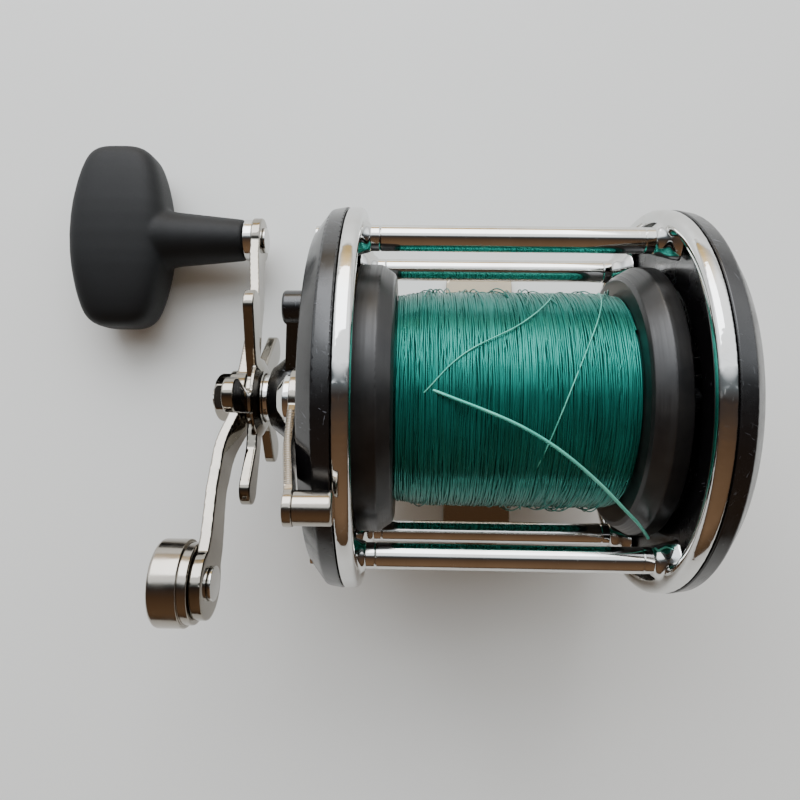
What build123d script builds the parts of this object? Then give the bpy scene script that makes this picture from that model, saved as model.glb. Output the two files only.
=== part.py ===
"""Conventional multiplying fishing reel with a side-plate frame, a star drag and a free-spool lever.

Frame: +X towards the tail plate and -X towards the handle, +Z up from the reel foot, and +Y to the side
where the handle knob rests. The origin is the centre of the foot's flat underside. Lengths are in mm.
Heights in the functions below are measured from the spool axis, which is AXIS_Z above the foot.
"""
import os
from math import acos, cos, degrees, pi, radians, sin, sqrt, tan

from build123d import *

# Overall sizes
AXIS_Z = 57.0            # spool axis above the underside of the foot
PLATE_R = 46.0           # side plates and rings
JOINT_X = 37.1           # plane where each side plate meets its ring
GAP = 0.3                # between pieces that move past each other
FIT = 0.05               # radial clearance of a shaft in its hole

# Rings and posts
RING_INNER_X = 33.2      # inboard edge of a ring
RING_WALL = 3.2          # radial width of a ring's lip
EAR_X = 31.5             # inboard face of the ears that hold the posts
EAR_R = 6.2
EAR_LOWEST_R = 35.9      # the ears stop here, outside the spool
POST_R = 2.95
POST_CIRCLE_R = 39.45
POST_ANGLE = 24.3        # of the four frame posts, from the horizontal
STAND_POST_ANGLE = 72.0  # of the two posts that carry the foot
SOCKET_DEPTH = 1.6       # of a post in its ring
POST_SCREW_R = 1.5
POST_SCREW_HEAD_R = 2.6
POST_SCREW_DEPTH = 8.0   # of the screw in the post

# Side plates
PLATE_RIM_X = 40.6
PLATE_RIM_R = 45.4
PLATE_FACE_X = 44.3
PLATE_FACE_R = 40.7
PLATEAU_X = 45.9         # raised gear cover on the handle side
PLATEAU_R = 34.7
PLATEAU_FRONT_Y = -16.0
PLATEAU_TOP_Z = 18.5
PLATEAU_CORNER_R = 5.0
SPOTFACE_X = 42.9        # seat of the post screws' heads
BRIDGE_T = 1.6
BRIDGE_R = 33.0
BRIDGE_GAP = 0.2
BRIDGE_SCREW_CIRCLE_R = 29.5
BRIDGE_SCREW_R = 1.1

# Gear train
MODULE = 0.75
GEAR_TEETH = 36
PINION_TEETH = 12
PRESSURE_ANGLE = 25.0
TOOTH_BACKLASH = 0.16
GEAR_Z = -MODULE * (GEAR_TEETH + PINION_TEETH) / 2
GEAR_X = (41.3, 44.0)
GEAR_WEB = 0.7           # thickness left under the drag washers
PINION_X = (40.5, 45.2)
PINION_TRAVEL = 2.0
RATCHET_R = 9.0
RATCHET_TEETH = 10
RATCHET_X = (39.4, 40.3)
STUD_R = 2.0
SLEEVE_R = 3.6
SPACER_R = 4.6
WASHER_R = 10.0
WASHER_T = 0.7
DOG_Y = 16.5
DOG_Z = -9.0
DOG_R = 2.2
DOG_TIP_R = 0.9
DOG_X = (39.35, 40.25)
DOG_PIN_R = 1.0
GUIDE_PIN_R = 1.2

# Gear housing on the handle-side plate
HUMP_X = 60.6
HUMP_R = 12.25
CENTRE_BOSS_X = 51.4
CENTRE_BOSS_R = 8.0
OIL_BOSS_X = 54.6
OIL_BOSS_R = 4.3
OIL_BOSS_Y = 22.5
OIL_BOSS_Z = 0.0

# Spool, shaft and line
FLANGE_R = 32.8
FLANGE_LIP_R = 30.7
FLANGE_OUT_X = 34.8
HANDLE_FLANGE_X = (26.0, 26.5, 29.5)   # inner face, lip and shoulder of the flange
TAIL_FLANGE_X = (27.0, 27.5, 31.0)
ARBOR_R = 9.0
LINE_R = 26.3
SHAFT_R = 2.4
JOURNAL_R = 2.0
BEARING_R = 4.0          # outside of both spool bearings
JOURNAL_X = 36.0
DRIVE_R = 2.9
DRIVE_FLAT = 2.1
DRIVE_X = (37.6, 39.5)

# Free-spool lever
LEVER_Y = -1.3
LEVER_Z = 26.0
LEVER_T = 2.5
LEVER_X = 44.7
LEVER_LENGTH = 28.3
LEVER_LEAN = 45.0        # from the vertical, at rest, towards -Y
LEVER_STRIP_T = 1.8
LEVER_PATH = [(45.4, 5.0), (44.75, 16.5), (43.1, 27.0)]   # inner face and distance from the pivot
LEVER_HUB_R = 6.4
LEVER_SHAFT_R = 2.5
CAM_R = 4.6
ROLLER_R = 3.25
ROLLER_X = 36.0          # the roller's free end

# Star wheel
STAR_X = (63.9, 66.8)
STAR_TIP_R = 30.0
STAR_PADDLE_R = 4.3
STAR_HUB_R = 8.0
STAR_BOSS_X = 62.6       # the hub swells towards the collar
STAR_BOSS_R = (8.4, 11.0)
STAR_SPOKES = 5
COLLAR_R = 6.5

# Handle
ARM_ANGLE = 27.8         # knob end below the horizontal
ARM_T = 2.9
ARM_HUB_X = 68.6         # middle of the arm's thickness at its hub
ARM_HUB_R = 7.5
HUB_TOP_X = 71.8
KNOB_REACH = 58.0
WEIGHT_REACH = 51.5
KNOB_ARM_X = 71.7
WEIGHT_ARM_X = 71.3
ARM_BULGE_X = 72.3       # the arm bows out between its hub and the weight
NUT_FLATS = 11.6
NUT_X = (71.9, 75.8)
SPINDLE_R = 2.5
KNOB_STEM_X = 76.2
KNOB_STEM_R = (6.8, 8.6)
KNOB_SLEEVE_R = 3.7
KNOB_SLEEVE_END_X = 126.6
KNOB_END_X = 128.4       # outer face of the knob, flush with the spindle's head
SPINDLE_HEAD_R = 4.0
GRIP_X = 115.7           # middle of the grip
GRIP_R = 15.2
GRIP_HALF_LENGTH = 28.8
GRIP_THINNING = 0.69     # the grip is thinner up and down than it is wide
# Half of the grip's outline: shares of its half length and of its radius, from the middle to one end
GRIP_OUTLINE = [
    (0.0, 1.0),
    (0.25, 0.985),
    (0.5, 0.94),
    (0.7, 0.875),
    (0.85, 0.785),
    (0.94, 0.64),
    (0.985, 0.44),
    (1.0, 0.24),
]
WEIGHT_R = 10.5
WEIGHT_X = (72.8, 82.0)
RIVET_R = 2.0            # of the rivet through the weight
RIVET_HEAD_R = 4.2

# Foot
FOOT_HALF_LENGTH = 48.0
FOOT_HALF_WIDTH = 11.0
FOOT_TIP_T = 1.8
FOOT_ROOT_T = 3.4
SADDLE_HALF_LENGTH = 17.0
SADDLE_HALF_WIDTH = 21.0
SADDLE_TOP_Z = 17.6
FOOT_SCREW_X = 14.0
FOOT_SCREW_R = 1.4
FOOT_SCREW_HEAD_R = 2.6
FOOT_SCREW_SEAT_Z = 11.0

# Tail side
CAVITY_R = 30.0
CAVITY_X = 41.8
CAP_R = 11.0
CAP_X = 48.4
CAP_THREAD_R = 6.9
CLICK_TEETH = 14
CLICK_R = 6.0
CLICK_X = (36.2, 38.2)
CLICK_TRAVEL = 3.5
CLICK_BUTTON_Z = 20.5
CLICK_BUTTON_R = 4.5

# The free end of the line, from where it leaves the spool, as offsets from the spool axis
LINE_D = 0.75
LINE_POINTS = [
    (-17.6, 1.1, 26.0),
    (-14.1, -0.3, 27.5),
    (-7.9, -2.6, 28.4),
    (0.2, -5.9, 29.4),
    (8.4, -10.7, 29.6),
    (17.1, -17.7, 27.8),
    (23.3, -23.6, 24.9),
    (28.3, -27.8, 20.6),
    (31.2, -30.9, 16.4),
]


# Shapes that several pieces share

def rod(radius, x_a, x_b, y=0.0, z=0.0):
    """A cylinder along X between two stations."""
    body = Cylinder(radius, abs(x_b - x_a), align=(Align.CENTER, Align.CENTER, Align.MIN))
    return Pos(min(x_a, x_b), y, AXIS_Z + z) * Rot(0, 90, 0) * body


def turned(points, radii=None, y=0.0, z=0.0):
    """A turned piece: the outline's points are (x, radius)."""
    if radii:
        outline = FilletPolyline(*points, radius=radii, close=True)
    else:
        outline = Polyline(*points, close=True)
    return Pos(0, y, AXIS_Z + z) * revolve(make_face(outline), Axis.X)


def slab(sketch, x_a, x_b):
    """A sketch drawn in (y, z) pushed along X between two stations."""
    plane = Plane((min(x_a, x_b), 0, AXIS_Z), x_dir=(0, 1, 0), z_dir=(1, 0, 0))
    return extrude(plane * sketch, abs(x_b - x_a))


def polar(radius, angle):
    """The (y, z) of a point at an angle from +Y towards +Z."""
    return radius * cos(radians(angle)), radius * sin(radians(angle))


def post_centres():
    return [polar(POST_CIRCLE_R, a) for a in (POST_ANGLE, 180 - POST_ANGLE, 180 + POST_ANGLE, -POST_ANGLE)]


def stand_centres():
    return [polar(POST_CIRCLE_R, -STAND_POST_ANGLE), polar(POST_CIRCLE_R, STAND_POST_ANGLE - 180)]


def all_centres():
    return post_centres() + stand_centres()


def involute(angle):
    return tan(angle) - angle


def gear_sketch(teeth, phase, bore):
    """Spur gear with involute flanks, thinned for backlash and shortened to run without undercut."""
    pitch_r = MODULE * teeth / 2
    base_r = pitch_r * cos(radians(PRESSURE_ANGLE))
    tip_r = pitch_r + 0.8 * MODULE
    root_r = pitch_r - 1.1 * MODULE
    half = (pi * MODULE / 2 - TOOTH_BACKLASH) / 2 / pitch_r + involute(radians(PRESSURE_ANGLE))
    start_r = max(base_r, root_r)
    flank = [start_r + (tip_r - start_r) * i / 3 for i in range(4)]
    turns = [half - involute(acos(min(1.0, base_r / r))) for r in flank]
    points = []
    for tooth in range(teeth):
        middle = radians(phase) + 2 * pi * tooth / teeth
        rising = [(root_r, middle - turns[0])] + [(r, middle - t) for r, t in zip(flank, turns)]
        falling = [(r, middle + t) for r, t in zip(flank[::-1], turns[::-1])] + [(root_r, middle + turns[0])]
        if start_r - root_r < 0.01:
            rising = rising[1:]
            falling = falling[:-1]
        points += [(r * cos(a), r * sin(a)) for r, a in rising + falling]
    return make_face(Polyline(*points, close=True)) - Circle(bore)


def ratchet_sketch(teeth, tip_r, depth, bore):
    """Saw-toothed wheel."""
    points = []
    for tooth in range(teeth):
        points.append(polar(tip_r, 360 * tooth / teeth))
        points.append(polar(tip_r - depth, 360 * (tooth + 0.12) / teeth))
    return make_face(Polyline(*points, close=True)) - Circle(bore)


def bar_sketch(y_a, z_a, r_a, y_b, z_b, r_b):
    """Two round eyes joined by a straight-sided strip."""
    length = sqrt((y_b - y_a) ** 2 + (z_b - z_a) ** 2)
    side_y = -(z_b - z_a) / length
    side_z = (y_b - y_a) / length
    strip = [
        (y_a + side_y * r_a, z_a + side_z * r_a),
        (y_b + side_y * r_b, z_b + side_z * r_b),
        (y_b - side_y * r_b, z_b - side_z * r_b),
        (y_a - side_y * r_a, z_a - side_z * r_a),
    ]
    eyes = Pos(y_a, z_a) * Circle(r_a) + Pos(y_b, z_b) * Circle(r_b)
    return eyes + make_face(Polyline(*strip, close=True))


def coil_spring(x_a, x_b, radius, wire_r, turns, y, z):
    """Compression spring along X."""
    length = abs(x_b - x_a) - 2 * wire_r
    path = Helix(length / turns, length, radius)
    section = Plane(origin=path @ 0, z_dir=path % 0) * Circle(wire_r)
    spring = sweep(section, path=path, is_frenet=True)
    return Pos(min(x_a, x_b) + wire_r, y, AXIS_Z + z) * Rot(0, 90, 0) * spring


# Frame

def ring(side):
    """Chromed ring with an ear at each post."""
    lip = turned(
        [
            (side * RING_INNER_X, PLATE_R - RING_WALL),
            (side * RING_INNER_X, PLATE_R),
            (side * JOINT_X, PLATE_R),
            (side * JOINT_X, PLATE_R - RING_WALL),
        ],
        [0.6, 1.4, 0.25, 0],
    )
    envelope = turned(
        [
            (side * EAR_X, EAR_LOWEST_R),
            (side * EAR_X, PLATE_R - 2.0),
            (side * (EAR_X + 2.6), PLATE_R),
            (side * JOINT_X, PLATE_R),
            (side * JOINT_X, EAR_LOWEST_R),
        ],
        [0.5, 1.2, 1.5, 0.2, 0],
    )
    ears = [rod(EAR_R, side * EAR_X, side * JOINT_X, y, z) for y, z in all_centres()]
    body = lip + [ear & envelope for ear in ears]
    for y, z in all_centres():
        body -= rod(POST_R + 0.02, side * EAR_X, side * (EAR_X + SOCKET_DEPTH), y, z)
        body -= rod(POST_SCREW_R + 0.1, side * EAR_X, side * JOINT_X, y, z)
    return body


def post(y, z):
    """Round post, tapped at both ends."""
    end = EAR_X + SOCKET_DEPTH
    body = rod(POST_R, -end, end, y, z)
    for side in (-1, 1):
        body -= rod(POST_SCREW_R + 0.02, side * (end - POST_SCREW_DEPTH - 1), side * end, y, z)
    return body


def stand_post(y, z):
    """Post that the foot hangs on, with two tapped holes on its underside."""
    body = post(y, z)
    for x in (-FOOT_SCREW_X, FOOT_SCREW_X):
        hole = Cylinder(FOOT_SCREW_R + 0.02, POST_R + 1.2, align=(Align.CENTER, Align.CENTER, Align.MIN))
        body -= Pos(x, y, AXIS_Z + z - POST_R) * hole
    return body


def post_screws(side):
    """Six slotted screws that hold a side plate and its ring to the posts."""
    tip = EAR_X + SOCKET_DEPTH - POST_SCREW_DEPTH
    screws = []
    for y, z in all_centres():
        head = rod(POST_SCREW_HEAD_R, side * SPOTFACE_X, side * (SPOTFACE_X + 1.3), y, z)
        shank = rod(POST_SCREW_R, side * tip, side * SPOTFACE_X, y, z)
        slot = Pos(side * (SPOTFACE_X + 1.3), y, AXIS_Z + z) * Box(1.2, 0.8, 2 * POST_SCREW_HEAD_R)
        screws.append(head + shank - slot)
    return Compound(children=screws)


def plate_blank(side):
    """The moulded disc that both side plates start from."""
    return turned(
        [
            (side * JOINT_X, 0),
            (side * JOINT_X, PLATE_R),
            (side * PLATE_RIM_X, PLATE_RIM_R),
            (side * PLATE_FACE_X, PLATE_FACE_R),
            (side * PLATE_FACE_X, 0),
        ],
        [0, 0.3, 1.2, 1.6, 0],
    )


def post_holes(side):
    """What the post screws take out of a side plate."""
    cuts = []
    for y, z in all_centres():
        cuts.append(rod(POST_SCREW_R + 0.1, side * JOINT_X, side * PLATE_FACE_X, y, z))
        cuts.append(rod(POST_SCREW_HEAD_R + 0.15, side * SPOTFACE_X, side * (PLATE_FACE_X + 1), y, z))
    return cuts


def gear_hump():
    """Domed housing round the handle's bearing."""
    return turned(
        [
            (-(PLATE_FACE_X - 1), 0),
            (-(PLATE_FACE_X - 1), HUMP_R + 1.2),
            (-(PLATEAU_X + 1), HUMP_R + 1.2),
            (-(HUMP_X - 5), HUMP_R),
            (-HUMP_X, HUMP_R - 4.0),
            (-HUMP_X, 0),
        ],
        [0, 0, 0.8, 4.0, 1.2, 0],
        0,
        GEAR_Z,
    )


def oil_boss_ridge():
    """Web that slopes from the small boss down to the gear housing."""
    run_y = OIL_BOSS_Y
    run_z = OIL_BOSS_Z - GEAR_Z
    length = sqrt(run_y ** 2 + run_z ** 2)
    side_view = [
        (-(PLATE_FACE_X - 1), 0),
        (-(HUMP_X - 3.5), 0),
        (-(OIL_BOSS_X - 1.2), length),
        (-(PLATE_FACE_X - 1), length),
    ]
    web = extrude(make_face(Polyline(*side_view, close=True)), 3.6, both=True)
    return Pos(0, 0, AXIS_Z + GEAR_Z) * Rot(degrees(radians(90) - acos(run_z / length)), 0, 0) * web


def handle_side_plate():
    """Side plate that covers the gears, with the housings that stand out of it."""
    cover_outline = Circle(PLATEAU_R) & make_face(
        Polyline(
            (PLATEAU_FRONT_Y, -PLATEAU_R),
            (PLATEAU_R, -PLATEAU_R),
            (PLATEAU_R, PLATEAU_TOP_Z),
            (PLATEAU_FRONT_Y, PLATEAU_TOP_Z),
            close=True,
        )
    )
    cover_outline = fillet(cover_outline.vertices(), PLATEAU_CORNER_R)
    body = plate_blank(-1) + slab(cover_outline, -PLATEAU_X, -(PLATE_FACE_X - 1)) + gear_hump()
    body += oil_boss_ridge()
    body += turned(
        [
            (-(PLATE_FACE_X - 1), 0),
            (-(PLATE_FACE_X - 1), CENTRE_BOSS_R),
            (-CENTRE_BOSS_X, CENTRE_BOSS_R),
            (-CENTRE_BOSS_X, 0),
        ],
        [0, 0, 1.2, 0],
    )
    body += turned(
        [
            (-(PLATE_FACE_X - 1), 0),
            (-(PLATE_FACE_X - 1), OIL_BOSS_R),
            (-OIL_BOSS_X, OIL_BOSS_R),
            (-OIL_BOSS_X, 0),
        ],
        [0, 0, 0.9, 0],
        OIL_BOSS_Y,
        OIL_BOSS_Z,
    )
    bridge_back = JOINT_X + BRIDGE_GAP + BRIDGE_T
    gear_tip = MODULE * GEAR_TEETH / 2 + 0.8 * MODULE
    pinion_tip = MODULE * PINION_TEETH / 2 + 0.8 * MODULE
    body -= rod(BRIDGE_R + 0.5, -JOINT_X, -bridge_back)
    body -= rod(gear_tip + 0.6, -bridge_back, -(GEAR_X[1] + GAP), 0, GEAR_Z)
    body -= rod(pinion_tip + 0.5, -bridge_back, -(PINION_X[1] + PINION_TRAVEL + GAP))
    body -= rod(BEARING_R, -bridge_back, -(CENTRE_BOSS_X - 0.9))
    body -= slab(yoke_pocket_sketch(), -bridge_back, -(PINION_TRAVEL + bridge_back + 2.0))
    for y, z in guide_centres():
        body -= rod(2.5, -bridge_back, -(PLATE_FACE_X + 0.4), y, z)
    dog_pocket = bar_sketch(DOG_Y, DOG_Z, DOG_R + 1.3, 9.0, DOG_Z - 1.0, 4.0)
    body -= slab(dog_pocket, -bridge_back, -(DOG_X[1] + 0.6))
    body -= rod(LEVER_SHAFT_R + FIT, -bridge_back, -PLATE_FACE_X, LEVER_Y, LEVER_Z)
    body -= rod(SPACER_R + 1.4, -(GEAR_X[1]), -HUMP_X, 0, GEAR_Z)
    for y, z in bridge_screw_centres():
        body -= rod(BRIDGE_SCREW_R + 0.02, -bridge_back, -(bridge_back + 3.4), y, z)
    for cut in post_holes(-1):
        body -= cut
    return body


def bridge_screw_centres():
    return [polar(BRIDGE_SCREW_CIRCLE_R, a) for a in (25, 155, 205, 335)]


def guide_centres():
    return [(-10.0, 12.0), (10.0, 12.0)]


def yoke_sketch(margin=0.0):
    """Fork that straddles the pinion's neck and rides on two guide pins."""
    base = Pos(0, 6.5) * Rectangle(26.0 + 2 * margin, 17.0 + 2 * margin)
    tongue = Pos(LEVER_Y, 22.0) * Rectangle(11.0 + 2 * margin, 20.0 + 2 * margin)
    return base + tongue


def yoke_pocket_sketch():
    return yoke_sketch(0.8)


def bridge_plate():
    """Brass plate screwed into the handle-side plate; it carries the gear stud and the yoke's pins."""
    body = rod(BRIDGE_R, -(JOINT_X + BRIDGE_GAP), -(JOINT_X + BRIDGE_GAP + BRIDGE_T))
    body -= rod(5.3, -JOINT_X, -40)
    body -= rod(CAM_R + 0.4, -JOINT_X, -40, LEVER_Y, LEVER_Z)
    body -= rod(STUD_R + 0.8, -JOINT_X, -40, 0, GEAR_Z)
    body -= rod(DOG_PIN_R, -JOINT_X, -40, DOG_Y, DOG_Z)
    for y, z in guide_centres():
        body -= rod(GUIDE_PIN_R, -JOINT_X, -40, y, z)
    for y, z in bridge_screw_centres():
        body -= rod(BRIDGE_SCREW_R + 0.1, -JOINT_X, -40, y, z)
    for y in (-22.0, 22.0):
        body -= rod(5.0, -JOINT_X, -40, y, 0)
    return body


def bridge_screws():
    """Four small screws through the bridge plate."""
    inner = JOINT_X + BRIDGE_GAP
    screws = []
    for y, z in bridge_screw_centres():
        head = rod(1.9, -(inner - 0.9), -inner, y, z)
        screws.append(head + rod(BRIDGE_SCREW_R, -inner, -(inner + BRIDGE_T + 3.2), y, z))
    return Compound(children=screws)


def gear_stud():
    """Fixed pin that the handle's sleeve turns on."""
    inner = JOINT_X + BRIDGE_GAP
    return rod(STUD_R + 0.8, -inner, -(inner + BRIDGE_T), 0, GEAR_Z) + rod(STUD_R, -inner, -58.0, 0, GEAR_Z)


def yoke_guide_pins():
    inner = JOINT_X + BRIDGE_GAP
    pins = [rod(GUIDE_PIN_R, -inner, -(PLATE_FACE_X + 0.4), y, z) for y, z in guide_centres()]
    return Compound(children=pins)


def yoke_springs():
    """Two springs that push the yoke and its pinion back into mesh with the spool."""
    start = DOG_X[1] + 0.15
    springs = [coil_spring(-(PLATE_FACE_X + 0.3), -start, 1.75, 0.22, 4, y, z) for y, z in guide_centres()]
    return Compound(children=springs)


def dog_pin():
    inner = JOINT_X + BRIDGE_GAP
    return rod(DOG_PIN_R, -inner, -(DOG_X[1] + 0.5), DOG_Y, DOG_Z)


def hump_bushing():
    """Bearing in the mouth of the gear housing."""
    body = rod(SPACER_R + 1.4, -(HUMP_X - 9.0), -HUMP_X, 0, GEAR_Z)
    return body - rod(SPACER_R + FIT, -40, -70, 0, GEAR_Z)


def handle_side_bearing():
    body = rod(BEARING_R, -(CENTRE_BOSS_X - 3.9), -(CENTRE_BOSS_X - 0.9))
    return body - rod(JOURNAL_R + FIT, -40, -60)


# Gears on the handle's shaft

def gear_sleeve():
    """Hollow shaft on the gear stud; the star, the arm and its nut sit on its outer end."""
    body = rod(SLEEVE_R, -39.1, -75.6, 0, GEAR_Z) + rod(5.2, -39.1, -RATCHET_X[0], 0, GEAR_Z)
    body -= rod(STUD_R + FIT, -39.1, -58.4, 0, GEAR_Z)
    return body - rod(1.22, -69.5, -75.6, 0, GEAR_Z)


def anti_reverse_ratchet():
    sketch = Pos(0, GEAR_Z) * ratchet_sketch(RATCHET_TEETH, RATCHET_R, 1.3, SLEEVE_R)
    return slab(sketch, -RATCHET_X[0], -RATCHET_X[1])


def main_gear():
    """Drive gear, dished on its outer face for the drag washers."""
    sketch = Pos(0, GEAR_Z) * gear_sketch(GEAR_TEETH, 0, SLEEVE_R)
    body = slab(sketch, -GEAR_X[0], -GEAR_X[1])
    return body - rod(WASHER_R + 0.2, -(GEAR_X[0] + GEAR_WEB), -GEAR_X[1], 0, GEAR_Z)


def drag_washer(index):
    start = GEAR_X[0] + GEAR_WEB + index * WASHER_T
    return rod(WASHER_R, -start, -(start + WASHER_T), 0, GEAR_Z) - rod(SLEEVE_R, -38, -50, 0, GEAR_Z)


def drag_spacer():
    """Tube from the washers out to the star, with the bright collar that shows beside it."""
    start = GEAR_X[0] + GEAR_WEB + 3 * WASHER_T
    body = rod(SPACER_R, -start, -STAR_X[0], 0, GEAR_Z)
    body += turned(
        [
            (-(HUMP_X + GAP), SPACER_R - 0.5),
            (-(HUMP_X + GAP), COLLAR_R),
            (-STAR_X[0], COLLAR_R),
            (-STAR_X[0], SPACER_R - 0.5),
        ],
        [0, 0.5, 0.5, 0],
        0,
        GEAR_Z,
    )
    return body - rod(SLEEVE_R, -38, -68, 0, GEAR_Z)


def star_wheel():
    """Five-spoked drag wheel with paddle tips."""
    sketch = Circle(STAR_HUB_R)
    paddle_at = STAR_TIP_R - STAR_PADDLE_R
    for spoke in range(STAR_SPOKES):
        angle = 90 + 360 * spoke / STAR_SPOKES
        bend = 7.0
        y_mid, z_mid = polar(STAR_HUB_R + 7.0, angle + bend)
        y_tip, z_tip = polar(paddle_at, angle)
        sketch += bar_sketch(0, 0, 3.4, y_mid, z_mid, 2.7)
        sketch += bar_sketch(y_mid, z_mid, 2.7, y_tip, z_tip, STAR_PADDLE_R)
    body = slab(Pos(0, GEAR_Z) * sketch, -STAR_X[0], -STAR_X[1])
    body -= rod(SLEEVE_R + FIT, -60, -70, 0, GEAR_Z)
    return body + turned(
        [
            (-STAR_BOSS_X, COLLAR_R + GAP),
            (-STAR_BOSS_X, STAR_BOSS_R[0]),
            (-STAR_X[0], STAR_BOSS_R[1]),
            (-(STAR_X[0] + 1.0), STAR_BOSS_R[1]),
            (-(STAR_X[0] + 1.0), COLLAR_R + GAP),
        ],
        [0, 0.4, 0, 0, 0],
        0,
        GEAR_Z,
    )


# Handle

def on_arm(shape):
    """Places a shape drawn with the arm along Y, the knob towards +Y and the hub at the origin."""
    return Pos(0, 0, AXIS_Z + GEAR_Z) * Rot(-ARM_ANGLE, 0, 0) * shape


def arm_rod(radius, x_a, x_b, reach):
    body = Cylinder(radius, abs(x_b - x_a), align=(Align.CENTER, Align.CENTER, Align.MIN))
    return on_arm(Pos(min(x_a, x_b), reach, 0) * Rot(0, 90, 0) * body)


def handle_arm():
    """Forged bar, bent clear of the star at its hub and stepped out at both ends."""
    half = ARM_T / 2
    bends = [
        (KNOB_ARM_X, KNOB_REACH + 9),
        (KNOB_ARM_X, 51.0),
        (KNOB_ARM_X - 2.1, 35.0),
        (ARM_HUB_X, 17.0),
        (ARM_HUB_X, -6.5),
        (ARM_BULGE_X - 0.4, -15.6),
        (ARM_BULGE_X, -28.0),
        (WEIGHT_ARM_X, -41.0),
        (WEIGHT_ARM_X, -WEIGHT_REACH - 12),
    ]
    outer = [(-(x + half), y) for x, y in bends]
    inner = [(-(x - half), y) for x, y in reversed(bends)]
    softening = [0, 60, 60, 90, 24, 24, 60, 60, 0]
    side_view = FilletPolyline(*(outer + inner), radius=softening + softening[::-1], close=True)
    strip = extrude(make_face(side_view), 12, both=True)
    outline = bar_sketch(0, 0, 6.6, 27.0, 0, 4.0) + bar_sketch(27.0, 0, 4.0, KNOB_REACH, 0, 5.6)
    outline += Pos(KNOB_REACH, 0) * Circle(7.0)
    outline += bar_sketch(0, 0, 6.6, -26.0, 0, 4.8) + bar_sketch(-26.0, 0, 4.8, -WEIGHT_REACH, 0, 6.6)
    outline += Pos(-WEIGHT_REACH, 0) * Circle(8.6)
    plane = Plane((-90, 0, 0), x_dir=(0, 1, 0), z_dir=(1, 0, 0))
    body = on_arm(strip & extrude(plane * outline, 40))
    body += arm_rod(ARM_HUB_R, -(ARM_HUB_X - half), -HUB_TOP_X, 0)
    body -= arm_rod(SLEEVE_R, -60, -80, 0)
    body -= arm_rod(SPINDLE_R, -60, -80, KNOB_REACH)
    return body - arm_rod(RIVET_R, -60, -80, -WEIGHT_REACH)


def handle_nut():
    """Hexagon nut with a domed end."""
    across_corners = NUT_FLATS / cos(radians(30)) / 2
    prism = slab(Pos(0, GEAR_Z) * RegularPolygon(across_corners, 6), -NUT_X[0], -NUT_X[1])
    dome = turned(
        [
            (-NUT_X[0], 0),
            (-NUT_X[0], across_corners),
            (-NUT_X[1], across_corners),
            (-NUT_X[1], 0),
        ],
        [0, 0.5, 1.4, 0],
        0,
        GEAR_Z,
    )
    return (prism & dome) - rod(SLEEVE_R, -60, -80, 0, GEAR_Z)


def nut_lock_screw():
    head = rod(3.0, -75.6, -76.9, 0, GEAR_Z) - Pos(-76.9, 0, AXIS_Z + GEAR_Z) * Box(1.0, 0.8, 6.2)
    return head + rod(1.2, -70.0, -75.6, 0, GEAR_Z)


def counterweight():
    """Turned steel weight with a groove near the arm."""
    start, end = WEIGHT_X
    outline = FilletPolyline(
        (-start, RIVET_R),
        (-start, WEIGHT_R - 0.8),
        (-(start + 2.2), WEIGHT_R - 0.8),
        (-(start + 2.2), WEIGHT_R),
        (-end, WEIGHT_R),
        (-end, RIVET_R),
        radius=[0, 0.4, 0.1, 0.3, 1.0, 0],
        close=True,
    )
    return on_arm(Pos(0, -WEIGHT_REACH, 0) * revolve(make_face(outline), Axis.X))


def counterweight_rivet():
    inner = WEIGHT_ARM_X - ARM_T / 2
    body = arm_rod(RIVET_HEAD_R, -(inner - 1.0), -inner, -WEIGHT_REACH)
    return body + arm_rod(RIVET_R, -inner, -(WEIGHT_X[1] - 0.6), -WEIGHT_REACH)


def knob_spindle():
    """Rivet that the knob turns on, with a head at each end."""
    inner = KNOB_ARM_X - ARM_T / 2
    head = KNOB_SLEEVE_END_X + GAP
    body = arm_rod(SPINDLE_HEAD_R, -(inner - 1.0), -inner, KNOB_REACH)
    body += arm_rod(SPINDLE_R, -inner, -head, KNOB_REACH)
    return body + arm_rod(SPINDLE_HEAD_R, -head, -(head + 1.1), KNOB_REACH)


def knob_washer():
    outer = KNOB_ARM_X + ARM_T / 2
    return arm_rod(6.5, -outer, -(KNOB_STEM_X - 0.3), KNOB_REACH) - arm_rod(SPINDLE_R, -60, -90, KNOB_REACH)


def handle_knob():
    """Soft grip: a flattened barrel across a tapered stem."""
    halves = GRIP_OUTLINE[:0:-1] + [(-along, wide) for along, wide in GRIP_OUTLINE]
    sections = []
    for along, wide in halves:
        plane = Plane((0, -GRIP_HALF_LENGTH * along, 0), x_dir=(1, 0, 0), z_dir=(0, 1, 0))
        sections.append(plane * Ellipse(GRIP_R * wide, GRIP_R * wide * GRIP_THINNING))
    grip = loft(sections)
    knob_y = KNOB_REACH * cos(radians(ARM_ANGLE))
    knob_z = GEAR_Z - KNOB_REACH * sin(radians(ARM_ANGLE))
    body = Pos(-GRIP_X, knob_y, AXIS_Z + knob_z) * grip
    body += turned(
        [
            (-KNOB_STEM_X, 0),
            (-KNOB_STEM_X, KNOB_STEM_R[0]),
            (-(GRIP_X - GRIP_R + 2), KNOB_STEM_R[1]),
            (-(GRIP_X - 2), KNOB_STEM_R[1]),
            (-(GRIP_X - 2), 0),
        ],
        [0, 0.5, 8, 0, 0],
        knob_y,
        knob_z,
    )
    body -= arm_rod(KNOB_SLEEVE_R, -KNOB_STEM_X, -KNOB_SLEEVE_END_X, KNOB_REACH)
    return body - arm_rod(SPINDLE_HEAD_R + GAP, -KNOB_SLEEVE_END_X, -KNOB_END_X, KNOB_REACH)


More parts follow.
